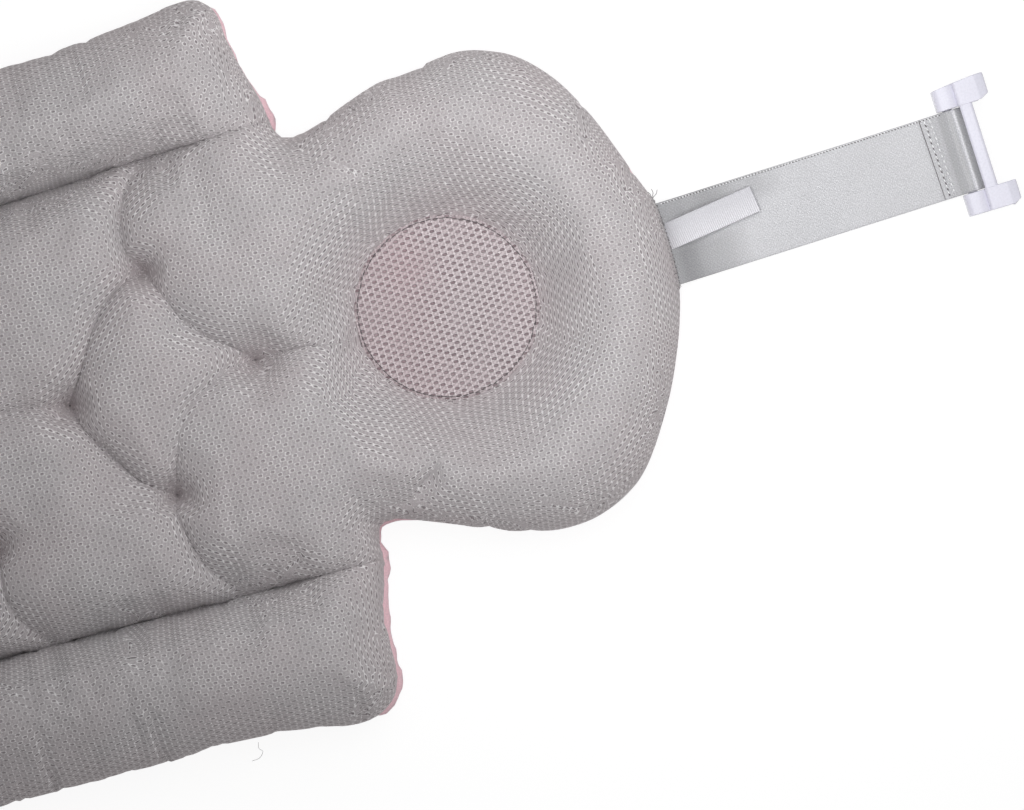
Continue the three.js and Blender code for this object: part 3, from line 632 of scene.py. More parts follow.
# Gathers run in from each kind of seam: height, wavelength, random seed, and how far in they fade
GATHERS = {"outline": (0.9, 11, 5, 9), "channel": (0.6, 13, 6, 8), "window": (0.5, 9, 8, 7)}
TUFT_REACH, TUFT_PULL = 15.0, 0.74
CREASE_POWER, TUFT_POWER = 1.5, 1.25
CHEST_STRETCH = 0.5
PULL_BLEND, PULL_MOST = 4, 0.88


def swell(distance, reach, power=2.0):
    """How far a stuffed cloth has risen at a distance from its seam: steep at first, then round."""
    left = 1 - np.clip(distance / reach, 0, 1)
    return (1 - left**power) ** (1 / power)


def sewn_distances(p):
    from_outline, along = nearest_on(p, closed(outline))
    (right, along_right), (left, along_left) = (nearest_on(p, channel) for channel in channels)
    return {
        "outline": from_outline, "outline_run": along,
        "channel": np.minimum(right, left), "channel_run": np.where(right < left, along_right, along_left),
        "window": np.maximum(np.hypot(p[:, 0], p[:, 1]) - WINDOW_RADIUS, 0),
        "window_run": np.arctan2(p[:, 1], p[:, 0]) * WINDOW_RADIUS,
    }


def cover_height(p, far):
    x, y = p[:, 0], p[:, 1]
    on_bolster = np.clip((abs(x) - channel_x(y)) / CREST_BLEND, 0, 1) * (y < BOLSTER_TOP_Y)
    body_crest = HEAD_CREST + (BODY_CREST - HEAD_CREST) * np.clip(y / BODY_CREST_Y, 0, 1)
    crest = body_crest + (BOLSTER_CREST - body_crest) * on_bolster
    sewn = ease((CHANNEL_FADE[0] - y) / (CHANNEL_FADE[0] - CHANNEL_FADE[1]))
    first = np.clip((FIRST_HOLD_Y[0] - y) / (FIRST_HOLD_Y[0] - FIRST_HOLD_Y[1]), 0, 1)
    sewn = FIRST_HOLD * first + (1 - FIRST_HOLD) * sewn
    channel = 1 - sewn * (1 - swell(far["channel"], CHANNEL_REACH))
    ring = np.sin(np.clip(far["window"] / WINDOW_REACH, 0, 1) * pi / 2)
    share = swell(far["outline"], OUTLINE_REACH, 2.1) * ring * channel
    pulls = []
    for line, depths, reach in CREASES:
        curve = smooth_curve(line, 2.0)
        d, run = nearest_on(p, curve)
        _, knots = nearest_on(np.array(line, float), curve)
        pulls.append(np.interp(run, knots, depths) * (1 - swell(d, reach, CREASE_POWER)))
    for k, (name, place) in enumerate(tufts.items()):
        away = p - place
        d = np.hypot(away[:, 0], away[:, 1] * (CHEST_STRETCH if name == "chest_tuft_tie" else 1.0))
        pulls.append(TUFT_PULL * (1 - swell(d, TUFT_REACH, TUFT_POWER)))
        turn = np.arctan2(away[:, 1], away[:, 0])
        folds = np.cos(5 * turn + 1.7 * k) + 0.7 * np.cos(8 * turn + 2.9 * k)
        pulls.append(0.05 * (1 + folds) * np.clip(d / 5, 0, 1) * np.exp(-d / 12))
    # The deepest pull wins, and where several are alike they add a little
    pull = np.sum(np.abs(pulls) ** PULL_BLEND, axis=0) ** (1 / PULL_BLEND)
    share = share * (1 - np.minimum(pull, PULL_MOST))
    base = CHANNEL_Z + (RIM_Z - CHANNEL_Z) * np.clip(1 - far["window"] / WINDOW_REACH, 0, 1)
    edge = (SIDE_Z - CHANNEL_Z) * (1 - swell(far["outline"], EDGE_REACH)) * (
        EDGE_HOLD + (1 - EDGE_HOLD) * channel)
    lumps = LUMP_HEIGHT * bend_noise(x * 0.8 + y * 0.6, LUMP_LENGTHS[0], 3) * bend_noise(
        y * 0.8 - x * 0.6, LUMP_LENGTHS[1], 4)
    gather = sum(
        high * bend_noise(far[f"{seam}_run"], length, seed) * np.exp(-far[seam] / fade)
        * (sewn if seam == "channel" else 1) for seam, (high, length, seed, fade) in GATHERS.items())
    return base + (crest - base) * share + edge + lumps * share + gather * np.minimum(share * 2, 1)


# %% A net of triangles between the sewn lines
NEAR_ROW = 0.9


def beside(line, loop=False):
    """A line's points moved a little to both sides."""
    before, after = (np.roll(line, 1, 0), np.roll(line, -1, 0)) if loop else (
        np.vstack([line[:1], line[:-1]]), np.vstack([line[1:], line[-1:]]))
    along = after - before
    normal = np.column_stack([-along[:, 1], along[:, 0]]) / np.linalg.norm(along, axis=1)[:, None]
    return np.vstack([line + normal * NEAR_ROW, line - normal * NEAR_ROW])


def on_cover(p):
    return inside(p, outline) & (np.hypot(p[:, 0], p[:, 1]) > WINDOW_RADIUS)


sewn_lines = [closed(outline), closed(window_rim), *channels]
crease_lines = [smooth_curve(line, STEP) for line, _, _ in CREASES]
low, high = outline.min(0), outline.max(0)
row_step = STEP * sqrt(0.75)
grid = np.array([
    (low[0] + (i + 0.5 * (j % 2)) * STEP, low[1] + j * row_step)
    for j in range(int((high[1] - low[1]) / row_step) + 1)
    for i in range(int((high[0] - low[0]) / STEP) + 1)])
grid = grid[on_cover(grid)]
for lines in (sewn_lines, crease_lines):
    grid = grid[nearest_of(grid, lines) > NEAR_ROW + 0.5 * STEP]
rows = np.vstack([beside(outline, True), beside(window_rim, True), *map(beside, channels)])
rows = rows[on_cover(rows)]
rows = rows[nearest_of(rows, sewn_lines) > 0.9 * NEAR_ROW]
crease_rows, crease_points = np.vstack([*map(beside, crease_lines)]), np.vstack(crease_lines)
crease_rows = crease_rows[(nearest_of(crease_rows, sewn_lines) > 2)
                          & (nearest_of(crease_rows, crease_lines) > 0.9 * NEAR_ROW)]
crease_points = crease_points[nearest_of(crease_points, sewn_lines) > 2]
inner_channels = [channel[1:-1] for channel in channels]
plan = np.vstack([outline, window_rim, *inner_channels, rows, crease_rows, crease_points, grid])

edges, start = [], 0
for loop in (outline, window_rim):
    edges += [(start + k, start + (k + 1) % len(loop)) for k in range(len(loop))]
    start += len(loop)
for channel, inner in zip(channels, inner_channels):
    first, last = [int(np.linalg.norm(outline - end, axis=1).argmin()) for end in (channel[0], channel[-1])]
    run = [first, *range(start, start + len(inner)), last]
    edges += list(zip(run, run[1:]))
    start += len(inner)
net = delaunay_2d_cdt([Vector(p) for p in plan], edges, [], 0, 1e-4, False)
plan = np.array([tuple(v) for v in net[0]])
triangles = np.array([f for f in net[2] if len(f) == 3])
triangles = triangles[on_cover(plan[triangles].mean(1))]
print(f"net of {len(plan)} points and {len(triangles)} triangles")

# %% [markdown]
# The cloth bulges out over its seam, so the edge seen from above is the widest place and not the seam.
# Below that edge a few narrow rows turn in and down to the seam, which lies a few millimetres further in.

# %% Lift the net and turn its edge under
SKIRT = [(0.3, 0.66), (1.3, 0.34), (2.6, 0.12), (3.8, 0.0)]  # inwards, and share of height above the seam


def open_loops(faces):
    """The closed loops of edges that only one face uses, longest first."""
    used = {}
    for face in faces:
        for a, b in zip(face, np.roll(face, -1)):
            if (b, a) in used:
                del used[(b, a)]
            else:
                used[(a, b)] = True
    following = {a: b for a, b in used}
    loops = []
    while following:
        loop, k = [], next(iter(following))
        while k in following:
            loop.append(k)
            k = following.pop(k)
        loops.append(np.array(loop))
    return sorted(loops, key=len, reverse=True)


def outward(loop):
    """Outward normals in plan of a loop that runs anticlockwise, smoothed over its neighbours."""
    along = np.roll(loop, -1, 0) - np.roll(loop, 1, 0)
    normal = np.column_stack([along[:, 1], -along[:, 0]])
    normal /= np.linalg.norm(normal, axis=1)[:, None]
    for _ in range(3):
        normal = (np.roll(normal, 1, 0) + 2 * normal + np.roll(normal, -1, 0)) / 4
    return normal / np.linalg.norm(normal, axis=1)[:, None]


def add_rows(points, faces, loop, rows):
    """Rows of points below a loop, joined by quads: all points, all faces and the last row's numbers."""
    upper, n = loop, len(loop)
    for row in rows:
        lower = len(points) + np.arange(n)
        faces = faces + [(upper[i], lower[i], lower[(i + 1) % n], upper[(i + 1) % n]) for i in range(n)]
        points, upper = np.vstack([points, row]), lower
    return points, faces, upper


spans = plan[triangles]
area = np.cross(spans[:, 1] - spans[:, 0], spans[:, 2] - spans[:, 0])
triangles[area < 0] = triangles[area < 0][:, ::-1]
far = sewn_distances(plan)
top_z = cover_height(plan, far)
rim_loop, hole_loop = open_loops(triangles)[:2]
edge_plan = plan[rim_loop]
edge_out = outward(edge_plan)
skirt = [np.column_stack([edge_plan - edge_out * inset, SEAM_Z + (top_z[rim_loop] - SEAM_Z) * share])
         for inset, share in SKIRT]
shell, shell_faces, seam_loop = add_rows(
    np.column_stack([plan, top_z]), [tuple(t) for t in triangles], rim_loop, skirt)
seam_line = shell[seam_loop]
print(f"cover from {shell[:, 2].min():.1f} to {shell[:, 2].max():.1f} mm high")


# %% Region of each face: 0 body, 1 right bolster, 2 left bolster
NOTCH_Y = -48.0


def regions(places):
    side = (abs(places[:, 0]) > channel_x(places[:, 1])) & (places[:, 1] < NOTCH_Y)
    return np.where(side, np.where(places[:, 0] > 0, 1, 2), 0)


def face_regions(rows):
    """The net's triangles, then some rows of quads below its edge."""
    edge_middle = (edge_plan + np.roll(edge_plan, -1, 0)) / 2
    return np.concatenate([regions(plan[triangles].mean(1)), np.tile(regions(edge_middle), rows)])


# %% [markdown]
# The rule gives smooth pillows. Real cloth has more length than that and creases where it is held, so a
# cloth simulation now blows the shell up against its seams. The seams, the window's rim, the channels
# and the tufts are pinned, and no point may move further than a few millimetres.

# %% Blow the cover up against its seams
PRESSURE, BLOW_FRAMES, BLOW_CAP, EXTRA_CLOTH = 4.0, 20, 2.6, 0.025
TUFT_HOLD = 3.0
CLOTH_SETTINGS = {
    "quality": 5, "mass": 0.15, "tension_stiffness": 15, "compression_stiffness": 15,
    "shear_stiffness": 5, "bending_stiffness": 0.05, "use_pressure": True,
    "uniform_pressure_force": PRESSURE, "shrink_min": -EXTRA_CLOTH, "vertex_group_mass": "held",
    "pin_stiffness": 10}


def blow_up(points, faces, held):
    """The points after a cloth simulation with pressure, each moved by the cap at most."""
    piece = new_mesh("stuffing", points, faces)
    piece.vertex_groups.new(name="held").add(np.flatnonzero(held).tolist(), 1.0, "REPLACE")
    cloth = piece.modifiers.new("stuffing", "CLOTH")
    for key, value in CLOTH_SETTINGS.items():
        setattr(cloth.settings, key, value)
    cloth.settings.effector_weights.gravity = 0
    cloth.collision_settings.use_collision = False
    cloth.point_cache.frame_start, cloth.point_cache.frame_end = 1, BLOW_FRAMES
    for frame_number in range(1, BLOW_FRAMES + 1):
        bpy.context.scene.frame_set(frame_number)
    blown = piece.evaluated_get(bpy.context.evaluated_depsgraph_get()).to_mesh()
    flat = np.zeros(len(points) * 3)
    blown.vertices.foreach_get("co", flat)
    bpy.context.scene.frame_set(1)
    bpy.data.meshes.remove(piece.data)
    move = flat.reshape(-1, 3) / MM - points
    size = np.linalg.norm(move, axis=1)
    print(f"cloth moved {np.percentile(size, 50):.1f} mm in the middle, {size.max():.1f} mm at most")
    capped = BLOW_CAP * np.tanh(size / BLOW_CAP)
    return points + move * (capped / np.maximum(size, 1e-9))[:, None] * ~held[:, None]


held = np.zeros(len(shell), bool)
held[: len(plan)] = np.minimum(far["channel"], far["window"]) < 0.1
for place in tufts.values():
    held[: len(plan)] |= np.hypot(*(plan - place).T) < TUFT_HOLD
held[seam_loop] = True
shell = blow_up(shell, shell_faces, held)

# %% [markdown]
# The holes of the mesh must keep their size on slopes, so each point gets cloth coordinates. The net is
# laid flat by letting its edges push and pull in the plane until they are as long as they are in space.

# %% Cloth coordinates
FLAT_SKIRT = (2.5, 5.1, 7.5, 9.3)
FLAT_ROUNDS = 260


def cloth_coordinates(points, flat, faces):
    pairs = np.array([(a, b) for face in faces for a, b in zip(face, face[1:] + face[:1])])
    a, b = np.unique(np.sort(pairs, axis=1), axis=0).T
    rest = np.linalg.norm(points[a] - points[b], axis=1)
    speed = np.zeros_like(flat)
    total = len(flat)
    degree = np.bincount(a, minlength=total) + np.bincount(b, minlength=total)
    for _ in range(FLAT_ROUNDS):
        span = flat[b] - flat[a]
        length = np.maximum(np.linalg.norm(span, axis=1), 1e-6)
        push = span * ((length - rest) / length)[:, None]
        move = np.column_stack([
            np.bincount(a, push[:, k], total) - np.bincount(b, push[:, k], total) for k in (0, 1)])
        speed = 0.9 * speed + 0.35 * move / degree[:, None]
        flat = flat + speed
    left = np.linalg.norm(flat[b] - flat[a], axis=1) / rest
    print(f"cloth coordinates: edges {np.percentile(left, 5):.2f} to {np.percentile(left, 95):.2f} of true")
    return flat


shell_faces = [tuple(map(int, f)) for f in shell_faces]
flat_start = np.vstack([plan, *[edge_plan + edge_out * d for d in FLAT_SKIRT]])
cover_uv = cloth_coordinates(shell, flat_start, shell_faces)

# %% Slopes
SLOPE_FROM, SLOPE_FULL, SLOPE_MOST = 0.25, 0.70, 0.88


def triangles_of(faces):
    return np.array([t for f in faces for t in ([f] if len(f) == 3 else [f[:3], (f[0], *f[2:])])])


def sum_on_points(tri, values, count):
    """Each triangle's values, added up on its three points."""
    return np.column_stack([sum(np.bincount(tri[:, k], column, count) for k in range(3))
                            for column in values])


def cloth_slopes(points, uv, faces):
    """For each point: the uphill direction in cloth coordinates, as long as the cloth is steep, up to 1."""
    tri = triangles_of(faces)
    (u1, v1), (u2, v2) = ((uv[tri[:, k]] - uv[tri[:, 0]]).T for k in (1, 2))
    z1, z2 = (points[tri[:, k], 2] - points[tri[:, 0], 2] for k in (1, 2))
    total = sum_on_points(tri, (z1 * v2 - z2 * v1, z2 * u1 - z1 * u2, u1 * v2 - v1 * u2), len(points))
    slope = total[:, :2] / np.maximum(total[:, 2:], 1e-6)
    size = np.linalg.norm(slope, axis=1)
    share = SLOPE_MOST * ease((size - SLOPE_FROM) / (SLOPE_FULL - SLOPE_FROM)) / np.maximum(size, 1e-6)
    return np.column_stack([slope * share[:, None], np.zeros(len(points))])


def split_shell(name, points, faces, face_body, uv, material, slot, stands_for, attributes):
    """One padded piece for each body. All keep the whole shell's normals, so that no join shows. The
    body's piece rides on the pad, and each bolster's stays where it lies."""
    tri = triangles_of(faces)
    crossed = np.cross(points[tri[:, 1]] - points[tri[:, 0]], points[tri[:, 2]] - points[tri[:, 0]])
    normals = sum_on_points(tri, crossed.T, len(points))
    normals /= np.maximum(np.linalg.norm(normals, axis=1), 1e-9)[:, None]
    for region, (part, side) in enumerate((("body", 0), ("bolster_right", 1), ("bolster_left", -1))):
        chosen = [f for f, r in zip(faces, face_body) if r == region]
        used = np.unique(np.concatenate([np.array(f) for f in chosen]))
        place = np.full(len(points), -1)
        place[used] = np.arange(len(used))
        piece = new_piece(f"{name}_{part}", points[used], [[place[k] for k in f] for f in chosen],
                          material, slot, uv[used])
        piece.data.normals_split_custom_set_from_vertices(normals[used].tolist())
        for key, values in attributes.items():
            point_attribute(piece, key, values[used])
        if side:
            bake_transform(piece)
        else:
            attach(piece, "pad")
        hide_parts(*stands_for[region])
        print(f"{piece.name}: {len(chosen)} faces")


# %% Cover pieces
thin = 0.12 * np.exp(-far["outline"] / 7) + 0.10 * np.exp(-far["window"] / 8)
for x, y0 in tufts.values():
    thin += 0.12 * np.exp(-np.hypot(plan[:, 0] - x, plan[:, 1] - y0) / 12)
split_shell(
    "cover", shell, shell_faces, face_regions(len(SKIRT)), cover_uv, COVER_MESH, "top_mesh",
    [("body_top_cover", "body_filling"), ("bolster_top_cover_right", "bolster_filling_right"),
     ("bolster_top_cover_left", "bolster_filling_left")],
    {PINK_AND_SHADE: np.concatenate([thin, np.tile(thin[rim_loop], len(SKIRT))]),
     SLOPE: cloth_slopes(shell, cover_uv, shell_faces)})

# %% [markdown]
# ## The back
# A soft pink cloth closes the cushion from below. It lies flat on the table and turns up to the seam at
# its edges, and a little to the stitched channels. Along the front edges of the bolsters and at two
# places of the head end it is gathered and stands out past the grey cover as a small ruffle. It could be
# a sheet of its own, but it takes the cover's net, so that both cloths meet at every step of the seam.

# %% Back cloth
BACK_RISE, BACK_EDGE_Z = 15.0, 5.6
CHANNEL_LIFT, CHANNEL_WIDTH, LIFT_FROM_Y = 4.6, 11.0, -66.0
TABLE_Z, PUCKER = 0.02, 0.45
TUCKED, RUFFLE_FADE = -1.6, 9.0
HEM_SHARES, HEM_BOW, UNDER_COVER = (0.4, 0.8, 1.0), 0.5, (0, 0, 0.25)
HEM_FLAT = (1.5, 3, 4)
RUFFLES = [
    # a place on the outline, how far along it the ruffle keeps its width, and how far it stands out
    ((87.3, -47), 6, 0.5), ((88, -56), 6, 0.8), ((105, -60.4), 4, 3.0), ((128, -65.5), 22, 1.5),
    ((152, -68.4), 8, 1.8), ((163.5, -72), 9, 2.8), ((-109, -55.3), 4, 2.9), ((-122, -58.5), 10, 0.9),
    ((-143, -63.2), 5, 0.8), ((-155, -63.8), 5, 1.7), ((62, 88.6), 20, 1.3), ((-37, 98), 8, 1.1),
]


def ruffle_reach(places):
    """How far the back's edge stands out past the cover, all round: tucked in where it is negative."""
    line = closed(outline)
    _, run = nearest_on(places, line)
    _, middles = nearest_on(np.array([r[0] for r in RUFFLES], float), line)
    total = run_along(line)[-1]
    wave = 0.9 + 0.22 * bend_noise(run, 11, 21)
    reach = np.full(len(places), TUCKED)
    for middle, (_, half_length, out) in zip(middles, RUFFLES):
        away = abs((run - middle + total / 2) % total - total / 2) - half_length
        reach = np.maximum(reach, TUCKED + ease(1 - away / RUFFLE_FADE) * (out * wave - TUCKED))
    return reach


edge_bulge, near_edge = ruffle_reach(edge_plan), far["outline"]
closest = np.concatenate([
    np.linalg.norm(part[:, None] - edge_plan, axis=2).argmin(1) for part in np.array_split(plan, 12)])
back_plan = plan + edge_out[closest] * (np.exp(-near_edge / 5) * edge_bulge[closest])[:, None]
back_z = BACK_EDGE_Z * (1 - swell(near_edge, BACK_RISE)) + CHANNEL_LIFT * (
    1 - swell(far["channel"], CHANNEL_WIDTH)) * np.clip((LIFT_FROM_Y - plan[:, 1]) / 20, 0, 1) * (
    1 - np.exp(-near_edge / 6))
back_z += PUCKER * abs(bend_noise(far["outline_run"], 8, 31)) * np.exp(-near_edge / 8)
back = np.column_stack([back_plan, np.maximum(back_z, TABLE_Z)])
hem = []
for share in HEM_SHARES:
    row = back[rim_loop] + (seam_line - UNDER_COVER - back[rim_loop]) * share
    row[:, :2] += edge_out * (sin(pi * share) * HEM_BOW)
    hem.append(row)
back_points, back_faces, _ = add_rows(back, [tuple(t) for t in triangles], rim_loop, hem)
back_points = np.vstack([back_points, (0, 0, TABLE_Z)])
back_faces = [tuple(map(int, face[::-1])) for face in back_faces]
m = len(hole_loop)
back_faces += [(int(hole_loop[i]), int(hole_loop[(i + 1) % m]), len(back_points) - 1) for i in range(m)]
split_shell(
    "back", back_points, back_faces, np.append(face_regions(len(hem)), np.zeros(m, int)),
    np.vstack([plan, *[edge_plan + edge_out * d for d in HEM_FLAT], [(0, 0)]]), BACK_CLOTH, "back_cloth",
    [("body_back_cover",), ("bolster_back_cover_right",), ("bolster_back_cover_left",)], {})

# %% [markdown]
# ## The window
# In the ring's middle a flat disc of more open mesh is sewn in. The pink back shows through it, so it
# looks rosy. It is a thin sheet with slow waves, and a dark lockstitch runs round it where it meets the
# ring. A line of stitches could be painted, but it would lie flat from close by. Threads are made as many
# short bowed tubes instead, one for each stitch, as a needle leaves them.

# %% Window panel
WINDOW_RINGS, WINDOW_OVERLAP, WINDOW_THICKNESS = 22, 0.8, 1.2
WINDOW_BULGE, WINDOW_LIFT = 2.8, 0.4
radii = np.linspace(0, WINDOW_RADIUS + WINDOW_OVERLAP, WINDOW_RINGS + 1)[1:]
n = len(turns)
disc = np.vstack([[(0, 0)], *[circle(r) for r in radii]])
share = np.hypot(disc[:, 0], disc[:, 1]) / radii[-1]
waves = 0.7 * bend_noise(disc[:, 0] * 0.5 + disc[:, 1], 34, 41) * (1 - share**4)
disc_z = RIM_Z + WINDOW_LIFT + WINDOW_BULGE * (1 - share**2) + waves
disc_faces = [(0, 1 + k, 1 + (k + 1) % n) for k in range(n)]
for a in range(1, 1 + (WINDOW_RINGS - 1) * n, n):
    disc_faces += [(a + k, a + n + k, a + n + (k + 1) % n, a + (k + 1) % n) for k in range(n)]
window = new_piece("window_mesh_panel", np.column_stack([disc, disc_z]), disc_faces, WINDOW_MESH,
                   "window_mesh", disc)
# Painted shade on the window: the half towards the body, -Y, is mixed towards its darker pink, and so is a
# patch near (-24, -12), rosier where the pink back wrinkles beneath it and darker as painted shade.
rosy_shade = np.hypot((disc[:, 0] + 24) / 15, (disc[:, 1] + 12) / 12)
point_attribute(window, PINK_AND_SHADE, 0.17 * np.exp(-rosy_shade**2) + 0.10 * ease((12 - disc[:, 1]) / 40))
solid = window.modifiers.new("thickness", "SOLIDIFY")
solid.thickness, solid.offset = WINDOW_THICKNESS * MM, -1
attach(window, "pad")
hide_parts("window_panel")


# %% Threads and stitches
STITCH_TAPER = (0.45, 0.9, 1.0, 0.9, 0.45)


def tube(line, radius, sides=6, taper=1.0):
    """Points and faces of a round tube along a line, with closed ends."""
    line = np.asarray(line, float)
    along = np.gradient(line, axis=0)
    along /= np.linalg.norm(along, axis=1)[:, None]
    side = np.cross(along[0], (0, 0, 1.0))
    if np.linalg.norm(side) < 0.1:
        side = np.cross(along[0], (1.0, 0, 0))
    points, count = [], len(line)
    angles = np.linspace(0, TURN, sides, endpoint=False)[:, None]
    for place, direction, r in zip(line, along, radius * np.ones(count) * taper):
        side = side - direction * side.dot(direction)
        side /= np.linalg.norm(side)
        points.append(place + r * (np.cos(angles) * side + np.sin(angles) * np.cross(direction, side)))
    faces = [(i + k, i + (k + 1) % sides, i + sides + (k + 1) % sides, i + sides + k)
             for i in range(0, (count - 1) * sides, sides) for k in range(sides)]
    faces.append(tuple(range(sides))[::-1])
    faces.append(tuple((count - 1) * sides + k for k in range(sides)))
    return np.vstack(points), faces


def merge(parts):
    points, faces, count = [], [], 0
    for p, f in parts:
        points.append(p)
        faces += [tuple(k + count for k in face) for face in f]
        count += len(p)
    return np.vstack(points), faces


def stitch(place, direction, length, radius, rise, up=(0, 0, 1)):
    """One stitch: a short bowed tube that dives into the cloth at both ends."""
    direction = np.asarray(direction, float) / np.linalg.norm(direction)
    t = np.linspace(-1, 1, 5)[:, None]
    line = np.asarray(place) + direction * t * length / 2 + np.asarray(up) * (rise * (1 - t * t) - rise / 2)
    return tube(line, radius, 6, STITCH_TAPER)


def thread_piece(name, parts, material, body="pad", node=None):
    piece = new_piece(name, *merge(parts), material, "thread")
    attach(piece, body)
    if node:
        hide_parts(node)


# %% Window seam
SEAM_STITCHES, SEAM_INSET, SEAM_ABOVE_RIM = 84, 0.9, 0.75
SEAM_STITCH = 3.1, 0.24, 0.45  # length, radius and rise, as in the other rows of stitches
draw = np.random.default_rng(51)
parts = []
for angle in np.linspace(0, TURN, SEAM_STITCHES, endpoint=False):
    r = WINDOW_RADIUS - SEAM_INSET + draw.normal(0, 0.12)
    slant = angle + draw.normal(0.06, 0.04)
    place = (r * cos(angle), r * sin(angle), RIM_Z + SEAM_ABOVE_RIM)
    parts.append(stitch(place, (-sin(slant), cos(slant), 0), SEAM_STITCH[0] + draw.normal(0, 0.2),
                        *SEAM_STITCH[1:]))
thread_piece("window_lockstitch", parts, SEAM_THREAD, node="window_seam_thread")
print(f"window of {len(disc_faces)} faces, seam of {SEAM_STITCHES} stitches")

# %% [markdown]
# ## Tufts and channel stitches
# A tuft is a few turns of strong thread, pulled through from top to bottom, so deep in its hollow that
# little of it shows. The channels are sewn from below: a row of stitches lies in the groove of the back.
# Both are made of the same bowed tubes as the window's seam, so that all the thread looks alike.

# %% Tuft ties and channel stitches
TIE_TURNS, TIE_STEP = 4, 0.2
TIE_STITCH, CHANNEL_STITCH = (3.2, 0.36, 0.8), (3.2, 0.5, 0.6)
CHANNEL_STITCH_PITCH, CHANNEL_STITCH_Z, CHANNEL_INSET, CHANNEL_SLANT = 4.2, 3.4, 1.1, 0.0258
for name, (x, y) in tufts.items():
    place = np.array([[x, y]])
    z = float(cover_height(place, sewn_distances(place))[0])
    parts = []
    for k in range(TIE_TURNS):
        angle = pi * k / TIE_TURNS + draw.normal(0, 0.15)
        place = (x, y, z + TIE_STEP + TIE_STEP * k)
        parts.append(stitch(place, (cos(angle), sin(angle), 0), *TIE_STITCH))
    thread_piece(name + "_knot", parts, GREY_THREAD, node=name)
for side, word in ((1, "right"), (-1, "left")):
    parts = [stitch((side * (channel_x(y) - CHANNEL_INSET), y, CHANNEL_STITCH_Z),
                    (-side * CHANNEL_SLANT, 1, 0), *CHANNEL_STITCH, (0, 0, -1))
             for y in np.arange(-404, -100, CHANNEL_STITCH_PITCH)]
    thread_piece(f"channel_stitches_{word}", parts, GREY_THREAD, node=f"channel_seam_{word}")
print(f"{len(tufts)} tufts, {len(parts)} stitches in each channel")

# %% [markdown]
# ## The strap's root
# Where the strap is sewn into the ring the raw edge is overlocked: two threads zigzag over it, the cut
# ends of the mesh's own threads stand between them, and a few loose hairs were left. The threads have to
# lie on the blown cover, wherever that is, so a ray is sent down to find its height under each place.

# %% Overlocked thread
ROOT_FROM, ROOT_TO = -22.5, 21.0
ZIGZAG_PITCH, FUZZ_PITCH = 1.7, 0.7
root_places = np.linspace(-32, 32, 33)
head_edge = np.array([shell[abs(shell[:, 0] - x) < 2.4][:, 1].max() for x in root_places])
head_edge = np.convolve(np.pad(head_edge, 2, mode="edge"), np.ones(5) / 5, mode="valid")
skin = BVHTree.FromPolygons([tuple(p) for p in shell], shell_faces)


def at_outline(x, out):
    """A place by the head end at x, moved outwards."""
    y, ahead = np.interp([x, x + 1], root_places, head_edge)
    normal = np.array([y - ahead, 1.0])
    return np.array([x, y]) + normal / np.linalg.norm(normal) * out


def on_side(x, out, above):
    """A place on the cover's side at x: out from its edge, lower the further out."""
    px, py = at_outline(x, out)
    hit = skin.ray_cast((px, py, 80.0), (0, 0, -1.0))[0]
    return px, py, (hit.z + above if hit else 16.8 - 7 * out)


def overlock(phase, radius, inner, above):
    line = []
    for k, x in enumerate(np.arange(ROOT_FROM, ROOT_TO, ZIGZAG_PITCH / 4)):
        out = (0.3, 0.1, inner, 0.1)[k % 4] + draw.normal(0, 0.06)
        line.append(on_side(x + phase * ZIGZAG_PITCH + draw.normal(0, 0.1), out, above))
    return tube(smooth_curve(line, 0.3), radius, 5)


loops = [overlock(0.0, 0.28, -1.1, 0.25), overlock(0.5, 0.24, -0.8, 0.35)]
thread_piece("strap_root_overlock", loops, LIGHT_THREAD, node="strap_root_thread")
parts = [overlock(0.25, 0.19, -1.2, 0.25)]
edge_run = smooth_curve([(*at_outline(x, -0.05), 15.6) for x in np.linspace(ROOT_FROM, ROOT_TO, 24)], 0.8)
parts.append(tube(edge_run, 0.42))
for x in np.arange(ROOT_FROM, ROOT_TO, FUZZ_PITCH):
    px, py = at_outline(x + draw.normal(0, 0.3), 0.1)
    reach, lean = 0.4 + 0.5 * draw.random(), draw.normal(0, 0.6)
    fuzz = [(px, py, 16.4), (px + lean / 2, py + 0.6 * reach, 16.6), (px + lean, py + reach, 15.6)]
    parts.append(tube(smooth_curve(fuzz, 0.5), 0.10, 4))
thread_piece("strap_root_cut_ends", parts, SEAM_THREAD)

LOOSE_HAIRS = [
    [(-22.6, 104.4, 12), (-24.4, 105.6, 13.5), (-26.4, 105.4, 13.0)],
    [(-22.4, 104.6, 12), (-23.6, 106.8, 14.0), (-25.4, 107.9, 12.0)],
    [(-22.6, 104.2, 12), (-24.6, 104.0, 15.0), (-26.2, 102.6, 15.5)],
    [(-22.0, 104.4, 12), (-23.2, 102.6, 17.0), (-24.0, 100.6, 19.5)],
]
SIDE_HAIR = [(168.4, -138.5, 12), (171.2, -139.2, 8), (173.4, -138.0, 3.0), (175.8, -140.5, 0.6),
             (176.2, -144.0, 0.4)]
thread_piece("strap_root_loose_hairs", [tube(smooth_curve(line, 0.5), 0.15, 5) for line in LOOSE_HAIRS],
             GREY_THREAD)
thread_piece("bolster_seam_hair", [tube(smooth_curve(SIDE_HAIR, 0.6), 0.09, 5)], GREY_THREAD,
             "right_bolster")
print("overlock and loose threads made")

# %% [markdown]
# ## The strap
# A satin webbing 39 mm wide comes down from the seam, runs along the table and turns round the buckle's
# bar. Its end is folded back and sewn with two rows. A cloth simulation would let a strap fall, but this
# turn has to fit the bar, so the webbing is modelled directly as a band: a flat section with thinner
# selvages is carried along a line drawn in side view.

# %% Ribbons
HEAD_END, STRAP_YAW = 104.5, radians(1.6)
BAND_COLUMNS = 17


